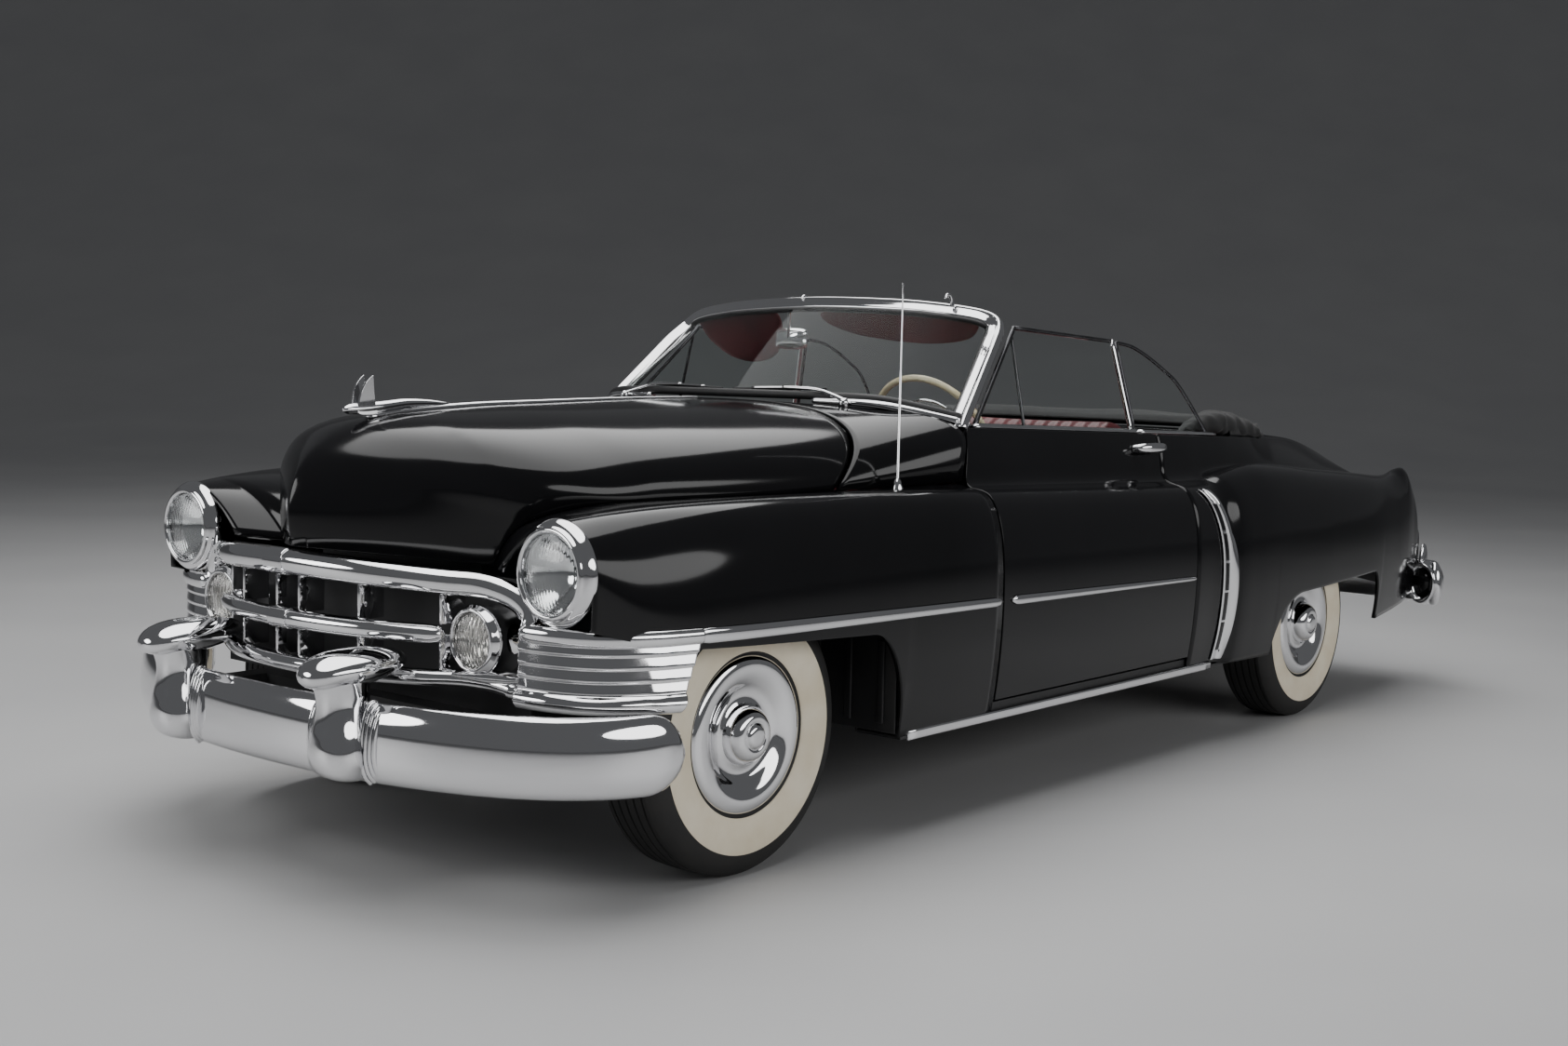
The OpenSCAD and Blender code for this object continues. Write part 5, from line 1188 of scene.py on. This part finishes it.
cushion("front_seat_cushion", (-350, -680, 566), (240, 680, 732), stands_for=["front_seat"])
cushion("front_seat_back_left", (-369, 8, 646), (-231, 680, 1146), 9, (-300, 0, 640))
cushion("front_seat_back_right", (-369, -680, 646), (-231, -8, 1146), 9, (-300, 0, 640))
cushion("rear_seat_cushion", (-950, -640, 606), (-530, 640, 762), stands_for=["rear_seat"])
cushion("rear_seat_back", (-944, -640, 690), (-836, 640, 1100), 10, (-890, 0, 680))
bases = boxes([((-330, -640, 447), (180, 640, 570)), ((-940, -560, 447), (-560, 560, 610))])
piece("seat_bases", bases, maroon_plain, edge=0.01)

# The dashboard: a rounded steel crossbar in body black under the windshield, with a plated strip
# and round dials before the driver.
DASH_HALF = 684
dash_form = curve([
    (822, 1104), (700, 1112), (600, 1116), (556, 1108), (538, 1078), (542, 1020), (566, 968), (610, 944),
    (720, 940), (822, 940)], 48, True)
dash = rings_mesh([[(x, y, z) for x, z in dash_form] for y in steps(-DASH_HALF, DASH_HALF, 24)])
piece("dashboard_shell", dash, gloss_black, ["dashboard"])
dial_face = "black_paint", noisy("dial_face", (0.03, 0.03, 0.028), (0.015, 0.015, 0.015), 60, (0.3, 0.4))
for name, y, r in (("speed_dial", 345, 72), ("fuel_dial", 223, 38), ("clock_dial", 463, 38)):
    centre, out = (541, y, 1040), (-1, 0, 0.12)
    ring = [(r, -4), (r, 4), (r + 5, 7), (r + 9, 2), (r + 9, -4), (r, -4)]
    piece(name + "_ring", turned(ring, centre, out, 64), chrome)
    piece(name, turned([(0, 0), (r - 0.5, 0), (r - 0.5, 3), (0, 4)], centre, out, 48), dial_face)
dash_strip = swept([(545, y, 1003) for y in steps(DASH_HALF, -DASH_HALF, 40)], oval(5, 7, 16))
piece("dashboard_strip", dash_strip, chrome)

# The steering wheel: a cream moulded rim on two spokes, with a plated horn ring, keyed to a shaft
# in a satin steel column.
STEER = "steering_wheel"
cream = "cream_plastic", noisy(
    "cream_plastic", (0.72, 0.62, 0.42), (0.62, 0.51, 0.32), 5, (0.2, 0.32),
    bump=0.04, bump_scale=90, Coat_Weight=0.4)
wheel_c = Vector((290, 345, 1085))
wheel_axis = Vector((-math.cos(math.radians(30)), 0, math.sin(math.radians(30))))


def hoop(radius, along, a, b, count):
    ring = [(radius + out, along + rise) for out, rise in oval(a, b, count)]
    return ring + ring[:1]


def spoke(side):
    path = [wheel_c - wheel_axis * 6, wheel_c + Vector((0, side * 100, 0)) - wheel_axis * 12,
            wheel_c + Vector((0, side * 214, 0))]
    return swept(curve(path, 20), lambda t: oval(mix(14, 8, t), mix(9, 7, t), 16), wheel_axis)


piece("steering_rim", turned(hoop(214, 0, 11, 12, 20), wheel_c, wheel_axis, 96), cream, [STEER], STEER)
piece("steering_spokes", joined(spoke(-1), spoke(1)), cream, (), STEER)
hub_form = [(0, 22), (18, 21), (30, 16), (38, 8), (40, -4), (34, -26), (0, -28)]
piece("steering_hub", turned(hub_form, wheel_c, wheel_axis, 48), cream, (), STEER)
piece("horn_ring", turned(hoop(128, 8, 4, 4, 12), wheel_c, wheel_axis, 72), chrome, (), STEER)
column = round_tube(straight(wheel_c - wheel_axis * 30, wheel_c - wheel_axis * 840), 24, up=(0, 1, 0))
piece("steering_column_tube", column, satin_black, ["steering_column"])

# The visors and mirror: hide pads under the windshield's header, and a plated mirror shell that
# hangs from it on a stalk.
LEFT_VISOR = [
    (591, 1448), (500, 1470), (380, 1484), (240, 1491), (100, 1493), (0, 1486), (-27, 1466), (10, 1438),
    (110, 1408), (260, 1388), (420, 1381), (540, 1394), (588, 1420)]
RIGHT_VISOR = [
    (-573, 1452), (-470, 1476), (-340, 1487), (-240, 1488), (-208, 1470), (-206, 1430), (-226, 1376),
    (-280, 1330), (-370, 1312), (-470, 1328), (-545, 1378), (-574, 1420)]
# Columns: share of the outline, half thickness
VISOR_ROUND = [(0.15, 9), (0.6, 8.6), (0.86, 8), (0.955, 6.5), (0.985, 4), (1.0, 0)]
visor_rounds = VISOR_ROUND + [(size, -off) for size, off in reversed(VISOR_ROUND[:-1])]
for side, outline, nodes in (("left", LEFT_VISOR, ["mirror_visors"]), ("right", RIGHT_VISOR, [])):
    edge = curve([(0, y, z) for y, z in outline], 72, True)
    mid = sum(edge, Vector()) / len(edge)
    visor = [[(438 - 0.42 * (1490 - q.z) + off, q.y, q.z) for q in (mid.lerp(point, size) for point in edge)]
             for size, off in visor_rounds]
    piece("sun_visor_" + side, rings_mesh(visor), maroon_plain, nodes)
mirror_edge = curve(
    [(66, 0), (60, 30), (0, 38), (-60, 30), (-66, 0), (-60, -30), (0, -38), (60, -30)], 48, True)
mirror_form = ((426, 0.3), (424, 0.62), (418, 0.86), (408, 0.98), (398, 1.0), (394, 0.97), (394, 0.9))
mirror = [[(x, -175 + y * size, 1393 + z * size) for y, z in mirror_edge] for x, size in mirror_form]
piece("mirror_shell", rings_mesh(mirror), chrome, sharp=50)
stalk = curve([(470, -130, 1492), (456, -140, 1466), (436, -160, 1420), (420, -175, 1396)], 24)
piece("mirror_stalk", round_tube(stalk, 6, up=(0, 1, 0)), chrome)

# The folded top: the canvas and its bows lie folded behind the rear seat under a snapped-on cover,
# a soft roll that runs round behind the cabin and tapers off along both sides.
canvas = "black_cloth", noisy(
    "black_canvas", (0.013, 0.013, 0.0135), (0.006, 0.006, 0.0065), 5, (0.7, 0.85),
    bump=0.6, bump_scale=900, Sheen_Weight=0.12)
BOOT_REAR = -1425
# Columns: station x, lift over the deck
TOP_STACK = [
    (BOOT_REAR, 4), (-1404, 22), (-1372, 34), (-1310, 40), (-1210, 48), (-1110, 54), (-1050, 56), (-1020, 46),
    (-1000, 22)]
stack_line = curve(TOP_STACK, 64)


def boot_place(u, v):
    x, lift = stack_line[round(64 * u)]
    waves = 3.5 * math.sin(9 * v * math.pi + 5 * u) + 5 * math.sin(23 * u + 3 * math.cos(6 * v))
    fold = waves * math.sin(math.pi * u)
    edge = min(1, 26 * min(v, 1 - v))
    return deck_point(max(x, BOOT_REAR), mix(86, -86, v), max(1.5, lift * math.sqrt(edge) + fold * edge))


boot = flanged(pressed(64, 128, boot_place), 3)
bmesh.ops.recalc_face_normals(boot, faces=boot.faces)
piece("top_boot", boot, canvas, ["folded_top"], wall=0.004)
# Columns of an arm: station x, inner y, outer y, top and foot over the belt
BOOT_ARM = [
    [-1392, 640, 700, 8, -4], [-1380, 610, 714, 20, -8], [-1330, 590, 728, 38, -10],
    [-1260, 590, 746, 58, -10], [-1120, 610, 764, 80, -6], [-1000, 640, 770, 90, 2], [-930, 660, 770, 86, 6],
    [-868, 668, 738, 70, 4], [-800, 676, 724, 46, 4], [-760, 683, 715, 28, 3], [-735, 692, 706, 12, 4]]
ARM_STEPS = 90


def arm_ring(k, x, inner, outer, top, low):
    """A ring of the arm: a rounded oblong, creased like folded canvas away from the arm's ends."""
    ring = []
    for j in range(40):
        a = 2 * math.pi * j / 40
        folds = 0.05 * math.sin(0.62 * k + 2.2 * math.sin(a)) + 0.04 * math.sin(0.9 * k - 3 * a)
        crease = 1 + folds * min(1, k / 8, (ARM_STEPS - k) / 8)
        ring.append((x, (inner + outer) / 2 + (outer - inner) / 2 * signed(math.cos(a), 0.75) * crease,
                     belt(x) + (top + low) / 2 + (top - low) / 2 * signed(math.sin(a), 0.75) * crease))
    return ring


arm = rings_mesh([arm_ring(k, *row) for k, row in enumerate(curve(BOOT_ARM, ARM_STEPS))])
for boot_arm in pair("top_boot_arm", arm, canvas):
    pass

# The inside of the car: cut-pile carpets glued to the floor and firewall, and hide panels on
# boards clipped to the doors and to the sides behind them.
FLOOR_Z = 446.5
carpet = "maroon_leather", noisy(
    "maroon_carpet", (0.060, 0.010, 0.012), (0.030, 0.006, 0.007), 25, (0.85, 0.95),
    bump=0.8, bump_scale=700, Sheen_Weight=0.4)
mats = boxes([((-930, -770, FLOOR_Z), (1000, 770, 452)), ((996, -684, 452), (1003, 684, 930))])
piece("floor_carpet", mats, carpet)


def card_place(u, v):
    """The door's inner face, a little padded away from the card's edges."""
    row = row_at(QUARTER, mix(740, -358, u))
    y, z = side_point(row, DOOR_FOOT, mix(0.05, 0.985, v), SIDE_PARTS)
    pad = 6 * min(1, 12 * min(u, 1 - u)) * min(1, 12 * min(v, 1 - v))
    return mix(door_edge(z) - 46, -354, u), min(y, 880) - DOOR_THICK - 0.5 - pad, z


def side_card(u, v):
    """From the quarter's belt edge inwards and down to the floor."""
    x = mix(-412, -985, u)
    top = belt(x) - 3
    if v < 0.25:
        return x, mix(row_at(QUARTER, x)[7] - 6, 712, v / 0.25), top
    return x, 712, mix(top, 450, (v - 0.25) / 0.75)


card = pressed(40, 60, card_place)
bmesh.ops.reverse_faces(card, faces=card.faces)
pair("door_card", card, maroon_pleated, bodies=DOORS, wall=0.002)
pair("cabin_side_panel", pressed(20, 32, side_card), maroon_pleated, wall=0.003)

# The running gear keeps its CAD form: frame, floor and axles in satin black, the engine of cast
# iron, tank and pipes of dull steel.
iron = noisy(
    "engine_iron", (0.05, 0.06, 0.075), (0.03, 0.036, 0.045), 8, (0.45, 0.6), bump=0.3, bump_scale=60)
pipe_steel = noisy(
    "pipe_steel", (0.22, 0.20, 0.18), (0.12, 0.10, 0.085), 9, (0.4, 0.65),
    bump=0.2, bump_scale=90, metallic=0.8)
own_metal = {"engine_block": iron, "exhaust": pipe_steel, "fuel_tank": pipe_steel}
for node in (
        "chassis_frame", "floor_pan", "trunk_pan", "firewall", "side_sills", "engine_block", "radiator",
        "front_suspension", "rear_axle", "exhaust", "fuel_tank", "nose_panel", "knuckle_left",
        "knuckle_right"):
    shown = bpy.data.objects[node]
    shown.data.materials.clear()
    shown.data.materials.append(own_metal.get(node, satin_black[1]))
